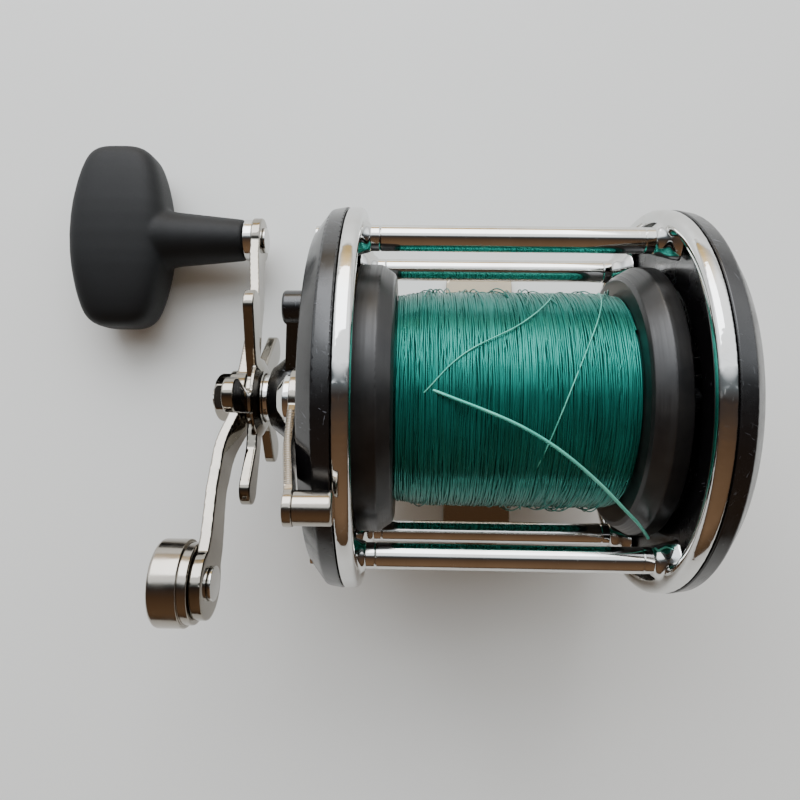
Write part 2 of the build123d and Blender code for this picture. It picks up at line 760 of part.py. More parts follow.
def knob_sleeve():
    """Brass tube moulded into the knob."""
    body = arm_rod(KNOB_SLEEVE_R, -KNOB_STEM_X, -KNOB_SLEEVE_END_X, KNOB_REACH)
    return body - arm_rod(SPINDLE_R + FIT, -60, -130, KNOB_REACH)


# Clutch

def pinion_gear():
    """Pinion that slides on the spool shaft; its neck carries the yoke and its mouth the shaft's flats."""
    phase = 180 / PINION_TEETH
    body = slab(gear_sketch(PINION_TEETH, phase, JOURNAL_R + FIT), -PINION_X[0], -PINION_X[1])
    mouth = JOINT_X + 1.4
    body += rod(3.55, -mouth, -PINION_X[0]) - rod(JOURNAL_R + FIT, -38, -46)
    body += rod(4.6, -mouth, -(mouth + 0.55)) - rod(JOURNAL_R + FIT, -38, -46)
    drive = Circle(DRIVE_R + 0.08) & Rectangle(2 * DRIVE_R + 1, 2 * (DRIVE_FLAT + 0.08))
    return body - slab(drive, -mouth, -(DRIVE_X[1] + 0.2))


def pinion_yoke():
    neck = Circle(3.55 + 0.2) + Pos(0, -5) * Rectangle(2 * 3.75, 10)
    sketch = yoke_sketch() - neck - Pos(LEVER_Y, LEVER_Z) * Circle(LEVER_SHAFT_R + 0.4)
    for y, z in guide_centres():
        sketch -= Pos(y, z) * Circle(GUIDE_PIN_R + FIT)
    return slab(sketch, -DOG_X[0], -(DOG_X[1] - 0.05))


def anti_reverse_dog():
    """Pawl beside the ratchet."""
    tip_y, tip_z = polar(RATCHET_R + DOG_TIP_R + 2 * GAP, 45)
    sketch = bar_sketch(DOG_Y, DOG_Z, DOG_R, tip_y, GEAR_Z + tip_z, DOG_TIP_R)
    sketch -= Pos(DOG_Y, DOG_Z) * Circle(DOG_PIN_R + FIT)
    return slab(sketch, -DOG_X[0], -DOG_X[1])


def freespool_cam():
    """Lever shaft with the cam disc that works the yoke."""
    inner = JOINT_X + BRIDGE_GAP + 0.1
    body = rod(CAM_R, -inner, -(inner + 1.4), LEVER_Y, LEVER_Z)
    return body + rod(LEVER_SHAFT_R, -inner, -(LEVER_X + LEVER_T + 1.4), LEVER_Y, LEVER_Z)


def lever_frame(shape):
    """Places a shape drawn with the lever along Z from its pivot."""
    return Pos(0, LEVER_Y, AXIS_Z + LEVER_Z) * Rot(LEVER_LEAN, 0, 0) * shape


def freespool_lever():
    """Lever with a round hub; its strip leans in towards the plate's edge at the thumb end."""
    inner = [(LEVER_PATH[0][0], -LEVER_HUB_R - 1)] + LEVER_PATH + [(LEVER_PATH[-1][0], LEVER_LENGTH + 6)]
    side_view = FilletPolyline(
        *[(-x, z) for x, z in inner],
        *[(-(x + LEVER_STRIP_T), z) for x, z in reversed(inner)],
        radius=[0, 20, 20, 10, 0, 0, 10, 20, 20, 0],
        close=True,
    )
    strip = extrude(Plane.XZ * make_face(side_view), 8, both=True)
    plane = Plane((-60, 0, 0), x_dir=(0, 1, 0), z_dir=(1, 0, 0))
    outline = bar_sketch(0, 0, LEVER_HUB_R * 0.62, 0, LEVER_LENGTH, 3.0)
    outline += Pos(0, LEVER_LENGTH) * Circle(ROLLER_R + 0.2)
    body = lever_frame(strip & extrude(plane * outline, 30))
    body += rod(LEVER_HUB_R, -LEVER_X, -(LEVER_X + LEVER_T), LEVER_Y, LEVER_Z)
    return body - rod(LEVER_SHAFT_R, -40, -50, LEVER_Y, LEVER_Z)


def lever_cap():
    """Domed cap screwed on the lever shaft."""
    start = LEVER_X + LEVER_T
    body = turned(
        [(-start, 0), (-start, 5.2), (-(start + 1.5), 5.2), (-(start + 3.1), 3.2), (-(start + 3.1), 0)],
        [0, 0.2, 0.8, 1.6, 0],
        LEVER_Y,
        LEVER_Z,
    )
    return body - rod(LEVER_SHAFT_R, -start, -(start + 1.4), LEVER_Y, LEVER_Z)


def thumb_roller():
    """Bright cylinder under the thumb, seated on the lever's inner face."""
    y = LEVER_Y - LEVER_LENGTH * sin(radians(LEVER_LEAN))
    z = LEVER_Z + LEVER_LENGTH * cos(radians(LEVER_LEAN))
    seat = LEVER_PATH[-1][0]
    outline = [(-ROLLER_X, 0), (-ROLLER_X, ROLLER_R), (-seat, ROLLER_R), (-seat, 0)]
    return turned(outline, [0, 0.4, 0.2, 0], y, z)


# Spool

def flange(side, stations):
    """Thick moulded flange, dished on its outer face."""
    face, lip, shoulder = stations
    return turned(
        [
            (side * face, SHAFT_R),
            (side * face, FLANGE_LIP_R - 1.0),
            (side * lip, FLANGE_LIP_R),
            (side * shoulder, FLANGE_R),
            (side * FLANGE_OUT_X, FLANGE_R),
            (side * FLANGE_OUT_X, FLANGE_R - 3.0),
            (side * (FLANGE_OUT_X - 2.6), FLANGE_R - 5.0),
            (side * (FLANGE_OUT_X - 2.6), ARBOR_R),
            (side * FLANGE_OUT_X, ARBOR_R - 2.0),
            (side * FLANGE_OUT_X, SHAFT_R),
        ],
        [0, 0.8, 0.6, 1.2, 0.5, 0.3, 0.5, 0.5, 0, 0],
    )


def spool_body():
    arbor = rod(ARBOR_R, -HANDLE_FLANGE_X[0], TAIL_FLANGE_X[0]) - rod(SHAFT_R, -40, 40)
    return flange(-1, HANDLE_FLANGE_X) + arbor + flange(1, TAIL_FLANGE_X)


def spool_shaft():
    """Steel shaft with journals, and flats that the pinion drives."""
    drive = Circle(DRIVE_R) & Rectangle(2 * DRIVE_R + 1, 2 * DRIVE_FLAT)
    body = rod(SHAFT_R, -JOURNAL_X, JOURNAL_X) + rod(JOURNAL_R, -(CENTRE_BOSS_X - 1.2), CAP_X - 2.0)
    return body + slab(drive, -DRIVE_X[0], -DRIVE_X[1]) + rod(DRIVE_FLAT, -JOURNAL_X, -DRIVE_X[0])


def click_ratchet():
    return slab(ratchet_sketch(CLICK_TEETH, CLICK_R, 1.0, JOURNAL_R), *CLICK_X)


def wound_line():
    """The packed line as one solid, a little lower beside the handle-side flange."""
    return turned(
        [
            (-HANDLE_FLANGE_X[0], ARBOR_R),
            (-HANDLE_FLANGE_X[0], LINE_R - 1.4),
            (-HANDLE_FLANGE_X[0] + 5, LINE_R - 0.5),
            (-10, LINE_R),
            (20, LINE_R + 0.2),
            (TAIL_FLANGE_X[0], LINE_R - 0.6),
            (TAIL_FLANGE_X[0], ARBOR_R),
        ]
    )


def line_end():
    """The line's loose end: straight runs joined by the widest arcs they allow."""
    points = [Vector(x, y, AXIS_Z + z) for x, y, z in LINE_POINTS]
    runs = [b - a for a, b in zip(points, points[1:])]
    radii = []
    for before, after in zip(runs, runs[1:]):
        turn = radians(before.get_angle(after))
        radii.append(0.45 * min(before.length, after.length) / tan(turn / 2))
    print("line_end radii", [round(r, 1) for r in radii])
    path = FilletPolyline(*points, radius=radii)
    section = Plane(origin=path @ 0, z_dir=path % 0) * Circle(LINE_D / 2)
    tube = sweep(section, path=path)
    print("line_end volume", round(tube.volume, 3), "of", round(path.length * pi * LINE_D ** 2 / 4, 3))
    print("line_end length", round(path.length, 2))
    return tube


# Tail side

def tail_side_plate():
    """Plain side plate with the spool's end bearing and the click's slot."""
    body = plate_blank(1)
    body += turned(
        [(PLATE_FACE_X - 1, 0), (PLATE_FACE_X - 1, 27.0), (PLATEAU_X, 26.0), (PLATEAU_X, 0)],
        [0, 0, 0.8, 0],
    )
    body -= rod(CAVITY_R, JOINT_X, CAVITY_X)
    body += rod(CAP_THREAD_R + 2.2, CAVITY_X - 2.0, CAVITY_X + 1)
    body -= rod(CAP_THREAD_R + FIT, JOINT_X, 60)
    slot = Pos(0, CLICK_BUTTON_Z - CLICK_TRAVEL / 2) * Rectangle(3.0 + 0.6, 3.0 + CLICK_TRAVEL + 0.6)
    body -= slab(slot, JOINT_X, 60)
    for cut in post_holes(1):
        body -= cut
    return body


def bearing_cap():
    """Screwed cap that holds the tail bearing, with finger notches round its rim."""
    body = turned(
        [
            (PLATEAU_X + 0.1, 0),
            (PLATEAU_X + 0.1, CAP_R),
            (CAP_X, CAP_R),
            (CAP_X, 0),
        ],
        [0, 0.3, 0.7, 0],
    )
    for notch in range(12):
        y, z = polar(CAP_R + 0.7, 30 * notch)
        body -= rod(1.4, PLATEAU_X, CAP_X + 1, y, z)
    body += rod(CAP_THREAD_R, CAVITY_X - 1.0, PLATEAU_X + 0.2)
    return body - rod(BEARING_R, CAVITY_X - 1.0, CAP_X - 1.4)


def tail_side_bearing():
    body = rod(BEARING_R, CAVITY_X - 1.0, CAP_X - 1.8)
    return body - rod(JOURNAL_R + FIT, CAVITY_X - 2.0, CAP_X)


def click_button():
    """Button that slides in the tail plate's slot."""
    head = turned(
        [
            (PLATEAU_X + 0.2, 0),
            (PLATEAU_X + 0.2, CLICK_BUTTON_R),
            (PLATEAU_X + 3.0, CLICK_BUTTON_R - 0.5),
            (PLATEAU_X + 3.0, 0),
        ],
        [0, 0.3, 1.0, 0],
        0,
        CLICK_BUTTON_Z,
    )
    return head + rod(1.5, CAVITY_X - 1.8, PLATEAU_X + 0.3, 0, CLICK_BUTTON_Z)


def click_tongue():
    """Flat tongue on the button's stem, pointing at the click ratchet."""
    length = CLICK_BUTTON_Z - (CLICK_R + 0.4 + CLICK_TRAVEL)
    blade = Pos(0, CLICK_BUTTON_Z - length + 1.5) * Rectangle(1.8, 3.0)
    shank = Pos(0, CLICK_BUTTON_Z - length / 2 + 1.6) * Rectangle(5.0, length - 1.4)
    tip = Pos(0, CLICK_BUTTON_Z) * Circle(3.6)
    body = slab(blade + shank + tip, CAVITY_X - 4.6, CAVITY_X - 3.4)
    body += rod(2.6, CAVITY_X - 3.4, CAVITY_X - 1.8, 0, CLICK_BUTTON_Z)
    return body - rod(1.5, CAVITY_X - 1.8, CAVITY_X, 0, CLICK_BUTTON_Z)


def click_spring():
    """Hairpin spring that holds the tongue in either place."""
    y = 5.2
    path = FilletPolyline(
        (y, CLICK_BUTTON_Z + 4.6),
        (y, CLICK_BUTTON_Z - 12.0),
        (y + 4.0, CLICK_BUTTON_Z - 12.0),
        (y + 4.0, CLICK_BUTTON_Z + 4.6),
        radius=1.9,
    )
    plane = Plane((CAVITY_X - 0.5, 0, AXIS_Z), x_dir=(0, 1, 0), z_dir=(1, 0, 0))
    wire = plane * path
    section = Plane(origin=wire @ 0, z_dir=wire % 0) * Circle(0.4)
    return sweep(section, path=wire)


# Foot

def reel_foot():
    """Cast foot: two tapered tongues under a saddle that seats on the stand posts."""
    side_view = FilletPolyline(
        (-FOOT_HALF_LENGTH, 0),
        (-FOOT_HALF_LENGTH, FOOT_TIP_T),
        (-SADDLE_HALF_LENGTH - 5, FOOT_ROOT_T),
        (-SADDLE_HALF_LENGTH, SADDLE_TOP_Z),
        (SADDLE_HALF_LENGTH, SADDLE_TOP_Z),
        (SADDLE_HALF_LENGTH + 5, FOOT_ROOT_T),
        (FOOT_HALF_LENGTH, FOOT_TIP_T),
        (FOOT_HALF_LENGTH, 0),
        radius=[0, 0.8, 6.0, 2.0, 2.0, 6.0, 0.8, 0],
        close=True,
    )
    strip = extrude(Plane.YZ * make_face(side_view), SADDLE_HALF_WIDTH, both=True)
    tongue = Rectangle(2 * FOOT_HALF_WIDTH, 2 * FOOT_HALF_LENGTH)
    tongue = fillet(tongue.vertices(), FOOT_HALF_WIDTH * 0.8)
    saddle = RectangleRounded(2 * SADDLE_HALF_WIDTH, 2 * SADDLE_HALF_LENGTH + 4, 5.0)
    body = strip & extrude(tongue + saddle, 30)
    for y, z in stand_centres():
        body -= rod(POST_R + 0.03, -40, 40, y, z)
    for x in (-FOOT_SCREW_X, FOOT_SCREW_X):
        for y, z in stand_centres():
            body -= Pos(x, y, 0) * Cylinder(FOOT_SCREW_R + 0.1, 60)
            body -= Pos(x, y, 0) * Cylinder(FOOT_SCREW_HEAD_R + GAP, 2 * FOOT_SCREW_SEAT_Z)
    return body


def foot_screws():
    """Four screws up through the foot into the stand posts."""
    screws = []
    for x in (-FOOT_SCREW_X, FOOT_SCREW_X):
        for y, z in stand_centres():
            seat = FOOT_SCREW_SEAT_Z
            head = Cylinder(FOOT_SCREW_HEAD_R, 1.4, align=(Align.CENTER, Align.CENTER, Align.MAX))
            head -= Pos(0, 0, -1.4) * Box(2 * FOOT_SCREW_HEAD_R + 0.2, 0.8, 1.0)
            shank = Cylinder(FOOT_SCREW_R, 9.4, align=(Align.CENTER, Align.CENTER, Align.MIN))
            screws.append(Pos(x, y, seat) * (head + shank))
    return Compound(children=screws)


def all_parts():
    upper_rear, upper_front, lower_front, lower_rear = post_centres()
    stand_rear, stand_front = stand_centres()
    return {
        "handle_side_ring": ring(-1),
        "tail_side_ring": ring(1),
        "upper_rear_post": post(*upper_rear),
        "upper_front_post": post(*upper_front),
        "lower_front_post": post(*lower_front),
        "lower_rear_post": post(*lower_rear),
        "stand_post_rear": stand_post(*stand_rear),
        "stand_post_front": stand_post(*stand_front),
        "handle_side_plate": handle_side_plate(),
        "tail_side_plate": tail_side_plate(),
        "handle_side_screws": post_screws(-1),
        "tail_side_screws": post_screws(1),
        "reel_foot": reel_foot(),
        "foot_screws": foot_screws(),
        "bridge_plate": bridge_plate(),
        "bridge_screws": bridge_screws(),
        "gear_stud": gear_stud(),
        "yoke_guide_pins": yoke_guide_pins(),
        "yoke_springs": yoke_springs(),
        "dog_pin": dog_pin(),
        "hump_bushing": hump_bushing(),
        "handle_side_bearing": handle_side_bearing(),
        "gear_sleeve": gear_sleeve(),
        "anti_reverse_ratchet": anti_reverse_ratchet(),
        "main_gear": main_gear(),
        "fibre_drag_washer": drag_washer(0),
        "steel_drag_washer": drag_washer(1),
        "drag_pressure_washer": drag_washer(2),
        "drag_spacer": drag_spacer(),
        "star_wheel": star_wheel(),
        "handle_arm": handle_arm(),
        "handle_nut": handle_nut(),
        "nut_lock_screw": nut_lock_screw(),
        "counterweight": counterweight(),
        "counterweight_rivet": counterweight_rivet(),
        "knob_spindle": knob_spindle(),
        "knob_washer": knob_washer(),
        "handle_knob": handle_knob(),
        "knob_sleeve": knob_sleeve(),
        "pinion_gear": pinion_gear(),
        "pinion_yoke": pinion_yoke(),
        "anti_reverse_dog": anti_reverse_dog(),
        "freespool_cam": freespool_cam(),
        "freespool_lever": freespool_lever(),
        "lever_cap": lever_cap(),
        "thumb_roller": thumb_roller(),
        "spool_body": spool_body(),
        "spool_shaft": spool_shaft(),
        "click_ratchet": click_ratchet(),
        "wound_line": wound_line(),
        "line_end": line_end(),
        "bearing_cap": bearing_cap(),
        "tail_side_bearing": tail_side_bearing(),
        "click_button": click_button(),
        "click_tongue": click_tongue(),
        "click_spring": click_spring(),
    }


os.makedirs("parts", exist_ok=True)
for name, shape in all_parts().items():
    export_step(shape, "parts/" + name + ".step")
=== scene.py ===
"""Looks of a conventional fishing reel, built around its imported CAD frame.

Every piece lies in the frame's own place, in metres: +X towards the tail plate, +Z up from the foot. Sizes in
the code are millimetres times MM. The file is laid out as an add-on: each operator makes one group of pieces.
"""
import math
import random

import bmesh
import bpy
from mathutils import Matrix, Vector


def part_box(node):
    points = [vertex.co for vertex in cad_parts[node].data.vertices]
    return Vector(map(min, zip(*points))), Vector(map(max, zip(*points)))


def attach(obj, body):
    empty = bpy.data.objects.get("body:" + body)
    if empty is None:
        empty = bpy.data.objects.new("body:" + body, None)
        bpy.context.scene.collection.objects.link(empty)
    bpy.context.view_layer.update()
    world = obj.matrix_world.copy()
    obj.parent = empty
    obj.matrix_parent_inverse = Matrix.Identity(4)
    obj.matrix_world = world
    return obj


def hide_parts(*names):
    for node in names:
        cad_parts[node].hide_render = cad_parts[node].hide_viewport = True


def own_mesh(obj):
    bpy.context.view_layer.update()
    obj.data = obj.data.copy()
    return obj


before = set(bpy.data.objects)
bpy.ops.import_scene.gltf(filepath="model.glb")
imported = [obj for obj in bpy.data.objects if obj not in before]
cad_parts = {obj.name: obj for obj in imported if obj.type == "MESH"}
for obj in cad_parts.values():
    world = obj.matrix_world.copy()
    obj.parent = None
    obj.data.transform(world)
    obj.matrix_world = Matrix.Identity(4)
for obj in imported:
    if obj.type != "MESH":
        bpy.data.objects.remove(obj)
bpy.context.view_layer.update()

bl_info = {
    "name": "Fishing reel",
    "version": (1, 0, 0),
    "blender": (4, 5, 0),
    "location": "3D view > Sidebar > Reel",
    "description": "Makes the chromed, moulded and wound pieces of a conventional fishing reel",
    "category": "Object",
}

MM = 0.001
FRAME_POSTS = ["upper_rear_post", "upper_front_post", "lower_front_post", "lower_rear_post"]
STAND_POSTS = ["stand_post_rear", "stand_post_front"]


# Places read from the frame

def centre(node):
    low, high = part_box(node)
    return (low + high) / 2


SPOOL_AXIS = centre("spool_body")
CRANK_AXIS = centre("gear_sleeve")
KNOB_AXIS = centre("knob_sleeve")


# Colour and node helpers

def linear(hex_colour):
    """An sRGB hex colour as linear red, green and blue."""
    parts = [int(hex_colour[i:i + 2], 16) / 255 for i in (1, 3, 5)]
    return tuple(p / 12.92 if p <= 0.04045 else ((p + 0.055) / 1.055) ** 2.4 for p in parts)


def rgba(colour):
    return (colour[0], colour[1], colour[2], 1.0)


def add(tree, kind, inputs=None, **settings):
    """Adds one node. inputs gives a socket, by name or number, a value or another node's output."""
    node = tree.nodes.new(kind)
    for name, value in settings.items():
        setattr(node, name, value)
    for socket, value in (inputs or {}).items():
        if isinstance(value, bpy.types.NodeSocket):
            tree.links.new(value, node.inputs[socket])
        else:
            node.inputs[socket].default_value = value
    return node


def ramp_stops(node, stops):
    """Sets a colour ramp's stops from (place, colour) pairs."""
    elements = node.color_ramp.elements
    while len(elements) < len(stops):
        elements.new(0.5)
    for element, (place, colour) in zip(elements, stops):
        element.position = place
        element.color = rgba(colour)


def start_material(name):
    """An empty node material with its output, and object coordinates turned to millimetres."""
    made = bpy.data.materials.new(name)
    made.use_nodes = True
    tree = made.node_tree
    tree.nodes.clear()
    output = add(tree, "ShaderNodeOutputMaterial")
    place = add(tree, "ShaderNodeTexCoord").outputs["Object"]
    in_mm = add(tree, "ShaderNodeVectorMath", {0: place, 1: (1000.0, 1000.0, 1000.0)}, operation="MULTIPLY")
    return made, tree, output, in_mm.outputs[0]


def scratches(tree, place, spacing, share):
    """Fine crossing scratches: the crests of two long stretched noises, 1 on a scratch and 0 off it."""
    lines = []
    for turn in (0.35, -0.8):
        turned = add(tree, "ShaderNodeMapping", {"Vector": place, "Rotation": (turn, turn * 0.7, turn * 1.3)})
        streaks = add(tree, "ShaderNodeTexNoise", {
            "Vector": add(tree, "ShaderNodeVectorMath", {
                0: turned.outputs[0], 1: (1.0 / spacing, 6.0 / spacing, 0.08),
            }, operation="MULTIPLY").outputs[0],
            "Scale": 1.0,
            "Detail": 1.0,
            "Roughness": 0.5,
        }).outputs["Fac"]
        lines.append(
            add(tree, "ShaderNodeMapRange", {
                "Value": streaks,
                "From Min": 1 - share,
                "From Max": 1.03 - share,
                "To Min": 0.0,
                "To Max": 1.0,
            }).outputs["Result"],
        )
    return add(tree, "ShaderNodeMath", {0: lines[0], 1: lines[1]}, operation="MAXIMUM").outputs[0]


def principled(tree, output, inputs, height=None, bump=0.1, distance=0.05):
    """The shader, with an optional bump from a height in which 1 is distance millimetres."""
    shader = add(tree, "ShaderNodeBsdfPrincipled", inputs)
    if height is not None:
        settings = {"Height": height, "Strength": bump, "Distance": distance * MM}
        tree.links.new(add(tree, "ShaderNodeBump", settings).outputs[0], shader.inputs["Normal"])
    tree.links.new(shader.outputs[0], output.inputs["Surface"])


# Materials

def polished_chrome(colour, name="polished_chrome_plate"):
    """Bright chromium plate over polished brass: mirror sharp, with faint haze, fine scratches and a soft
    unevenness left from polishing that makes reflections waver."""
    made, tree, output, place = start_material(name)
    haze = add(tree, "ShaderNodeTexNoise", {
        "Vector": place, "Scale": 0.09, "Detail": 4.0, "Roughness": 0.6,
    }).outputs["Fac"]
    marks = add(tree, "ShaderNodeMath", {
        0: scratches(tree, place, 3.0, 0.3),
        1: add(tree, "ShaderNodeTexNoise", {
            "Vector": place, "Scale": 0.3, "Detail": 3.0, "Roughness": 0.5,
        }).outputs["Fac"],
    }, operation="MULTIPLY").outputs[0]
    rough = add(tree, "ShaderNodeMath", {
        0: add(tree, "ShaderNodeMapRange", {
            "Value": haze, "From Min": 0.35, "From Max": 0.8, "To Min": 0.045, "To Max": 0.13,
        }).outputs["Result"],
        1: add(tree, "ShaderNodeMath", {0: marks, 1: 0.25}, operation="MULTIPLY").outputs[0],
    }, operation="ADD").outputs[0]
    tint = add(tree, "ShaderNodeMix", {
        0: add(tree, "ShaderNodeMapRange", {
            "Value": haze, "From Min": 0.4, "From Max": 0.75, "To Min": 0.0, "To Max": 0.4,
        }).outputs["Result"],
        6: rgba(colour),
        7: rgba(linear("#B9B2A6")),
    }, data_type="RGBA").outputs[2]
    height = add(tree, "ShaderNodeMath", {
        0: add(tree, "ShaderNodeTexNoise", {
            "Vector": place, "Scale": 0.16, "Detail": 1.0, "Roughness": 0.5,
        }).outputs["Fac"],
        1: add(tree, "ShaderNodeMath", {0: marks, 1: -0.1}, operation="MULTIPLY").outputs[0],
    }, operation="ADD").outputs[0]
    principled(tree, output, {"Base Color": tint, "Metallic": 1.0, "Roughness": rough}, height, 0.25, 0.05)
    return made


def worn_finish(name, colours, patterns, wear, gloss, shader, relief=None):
    """A finish steered by noise patterns, each given as its scale along X, Y and Z per millimetre, its detail
    and its roughness. wear mixes the two colours and gloss sets the roughness. Each of them names its pattern
    by number, then the range it reads and the range it gives. relief is the bump's pattern, its strength and
    its height in millimetres."""
    made, tree, output, place = start_material(name)
    seen = []
    for scale, detail, softness in patterns:
        spread = add(tree, "ShaderNodeVectorMath", {0: place, 1: scale}, operation="MULTIPLY").outputs[0]
        inputs = {"Vector": spread, "Scale": 1.0, "Detail": detail, "Roughness": softness}
        seen.append(add(tree, "ShaderNodeTexNoise", inputs).outputs["Fac"])
    steered = []
    for number, low, high, to_low, to_high in (wear, gloss):
        inputs = {
            "Value": seen[number],
            "From Min": low,
            "From Max": high,
            "To Min": to_low,
            "To Max": to_high,
        }
        steered.append(add(tree, "ShaderNodeMapRange", inputs).outputs["Result"])
    ends = {0: steered[0], 6: rgba(colours[0]), 7: rgba(colours[1])}
    tint = add(tree, "ShaderNodeMix", ends, data_type="RGBA").outputs[2]
    inputs = {"Base Color": tint, "Roughness": steered[1], **shader}
    if relief:
        number, bump, distance = relief
        principled(tree, output, inputs, seen[number], bump, distance)
    else:
        principled(tree, output, inputs)
    return made


def cast_chrome(colour, name="cast_chrome_plate"):
    """Chromium plate over a rougher casting: the same metal with a softer, slightly pebbled reflection."""
    patterns = [((1.4, 1.4, 1.4), 3.0, 0.5), ((0.14, 0.14, 0.14), 4.0, 0.6)]
    return worn_finish(name, (colour, linear("#A79F93")), patterns, (1, 0.35, 0.8, 0.0, 0.5),
                       (1, 0.3, 0.8, 0.1, 0.24), {"Metallic": 1.0}, (0, 0.12, 0.06))


def moulded_phenolic(colour):
    """Black moulded phenolic, polished: deep gloss dulled in patches, with pale scuffs and dust."""
    made, tree, output, place = start_material("moulded_phenolic")
    patches = add(tree, "ShaderNodeTexNoise", {
        "Vector": place, "Scale": 0.12, "Detail": 5.0, "Roughness": 0.6,
    }).outputs["Fac"]
    worn = scratches(tree, place, 2.0, 0.3)
    worn = add(tree, "ShaderNodeMath", {
        0: worn,
        1: add(tree, "ShaderNodeMapRange", {
            "Value": add(tree, "ShaderNodeTexNoise", {
                "Vector": place, "Scale": 0.1, "Detail": 2.0, "Roughness": 0.5,
            }).outputs["Fac"],
            "From Min": 0.48,
            "From Max": 0.7,
            "To Min": 0.0,
            "To Max": 1.0,
        }).outputs["Result"],
    }, operation="MULTIPLY").outputs[0]
    specks = add(tree, "ShaderNodeMapRange", {
        "Value": add(tree, "ShaderNodeTexNoise", {
            "Vector": place, "Scale": 2.4, "Detail": 2.0, "Roughness": 0.5,
        }).outputs["Fac"],
        "From Min": 0.74,
        "From Max": 0.8,
        "To Min": 0.0,
        "To Max": 1.0,
    }).outputs["Result"]
    pale = add(tree, "ShaderNodeMath", {
        0: add(tree, "ShaderNodeMath", {0: worn, 1: 0.45}, operation="MULTIPLY").outputs[0],
        1: add(tree, "ShaderNodeMath", {0: specks, 1: 0.3}, operation="MULTIPLY").outputs[0],
    }, operation="MAXIMUM").outputs[0]
    tint = add(tree, "ShaderNodeMix", {
        0: pale, 6: rgba(colour), 7: rgba(linear("#7C7F86")),
    }, data_type="RGBA").outputs[2]
    rough = add(tree, "ShaderNodeMath", {
        0: add(tree, "ShaderNodeMapRange", {
            "Value": patches, "From Min": 0.3, "From Max": 0.75, "To Min": 0.14, "To Max": 0.34,
        }).outputs["Result"],
        1: add(tree, "ShaderNodeMath", {0: pale, 1: 0.3}, operation="MULTIPLY").outputs[0],
    }, operation="ADD").outputs[0]
    height = add(tree, "ShaderNodeMath", {
        0: add(tree, "ShaderNodeTexNoise", {
            "Vector": place, "Scale": 0.5, "Detail": 2.0, "Roughness": 0.5,
        }).outputs["Fac"],
        1: worn,
    }, operation="SUBTRACT").outputs[0]
    inputs = {"Base Color": tint, "Roughness": rough, "IOR": 1.6}
    principled(tree, output, inputs, height, 0.12, 0.03)
    return made


def spool_moulding(colour):
    """Black moulded spool flanges: satin from years of thumbing, with faint turning rings and pale dust."""
    made, tree, output, place = start_material("satin_moulding")
    along_x = add(tree, "ShaderNodeVectorMath", {
        0: place, 1: (3.0, 0.02, 0.02),
    }, operation="MULTIPLY").outputs[0]
    rings = add(tree, "ShaderNodeTexNoise", {
        "Vector": along_x, "Scale": 1.0, "Detail": 2.0, "Roughness": 0.5,
    }).outputs["Fac"]
    dust = add(tree, "ShaderNodeMapRange", {
        "Value": add(tree, "ShaderNodeTexNoise", {
            "Vector": place, "Scale": 3.2, "Detail": 3.0, "Roughness": 0.7,
        }).outputs["Fac"],
        "From Min": 0.68,
        "From Max": 0.76,
        "To Min": 0.0,
        "To Max": 1.0,
    }).outputs["Result"]
    cloud = add(tree, "ShaderNodeMapRange", {
        "Value": add(tree, "ShaderNodeTexNoise", {
            "Vector": place, "Scale": 0.15, "Detail": 4.0, "Roughness": 0.5,
        }).outputs["Fac"],
        "From Min": 0.35,
        "From Max": 0.8,
        "To Min": 0.0,
        "To Max": 0.25,
    }).outputs["Result"]
    tint = add(tree, "ShaderNodeMix", {
        0: add(tree, "ShaderNodeMath", {
            0: add(tree, "ShaderNodeMath", {0: dust, 1: 0.3}, operation="MULTIPLY").outputs[0],
            1: cloud,
        }, operation="MAXIMUM").outputs[0],
        6: rgba(colour),
        7: rgba(linear("#4A4743")),
    }, data_type="RGBA").outputs[2]
    rough = add(tree, "ShaderNodeMapRange", {
        "Value": rings, "From Min": 0.3, "From Max": 0.7, "To Min": 0.3, "To Max": 0.42,
    }).outputs["Result"]
    inputs = {"Base Color": tint, "Roughness": rough, "IOR": 1.55}
    principled(tree, output, inputs, rings, 0.15, 0.03)
    return made


def nylon_line(colour, shade, name="nylon_monofilament", along=1.8, across=0.02):
    """Extruded nylon monofilament: clear green, so strands glow where light enters and darken in the depths
    between them, where the core under them is painted dark as shade, with a tight bright gleam. Strands are
    painted lit or shaded at random, at the line's own spacing."""
    made, tree, output, place = start_material(name)
    per_strand = add(tree, "ShaderNodeTexNoise", {
        "Vector": add(tree, "ShaderNodeVectorMath", {
            0: place, 1: (along, across, across),
        }, operation="MULTIPLY").outputs[0],
        "Scale": 1.0,
        "Detail": 2.0,
        "Roughness": 0.6,
    }).outputs["Fac"]
    patches = add(tree, "ShaderNodeTexNoise", {
        "Vector": place, "Scale": 0.1, "Detail": 3.0, "Roughness": 0.5,
    }).outputs["Fac"]
    share = add(tree, "ShaderNodeMath", {
        0: per_strand,
        1: add(tree, "ShaderNodeMapRange", {
            "Value": patches, "From Min": 0.3, "From Max": 0.7, "To Min": 0.7, "To Max": 1.3,
        }).outputs["Result"],
    }, operation="MULTIPLY").outputs[0]
    # Painted light and shade: the lit colour and the shaded colour are mixed at random, strand by strand at
    # the line's own spacing, and in broad patches for the loose line.
    tint = add(tree, "ShaderNodeMix", {
        0: add(tree, "ShaderNodeMapRange", {
            "Value": share, "From Min": 0.3, "From Max": 0.68, "To Min": 0.0, "To Max": 1.0,
        }).outputs["Result"],
        6: rgba(shade),
        7: rgba(colour),
    }, data_type="RGBA").outputs[2]
    rough = add(tree, "ShaderNodeMapRange", {
        "Value": per_strand, "From Min": 0.3, "From Max": 0.7, "To Min": 0.2, "To Max": 0.34,
    }).outputs["Result"]
    inputs = {
        "Base Color": tint,
        "Roughness": rough,
        "IOR": 1.8,
        "Transmission Weight": 0.1,
        "Specular IOR Level": 1.0,
        "Specular Tint": rgba(linear("#58F2DC")),
    }
    principled(tree, output, inputs)
    return made


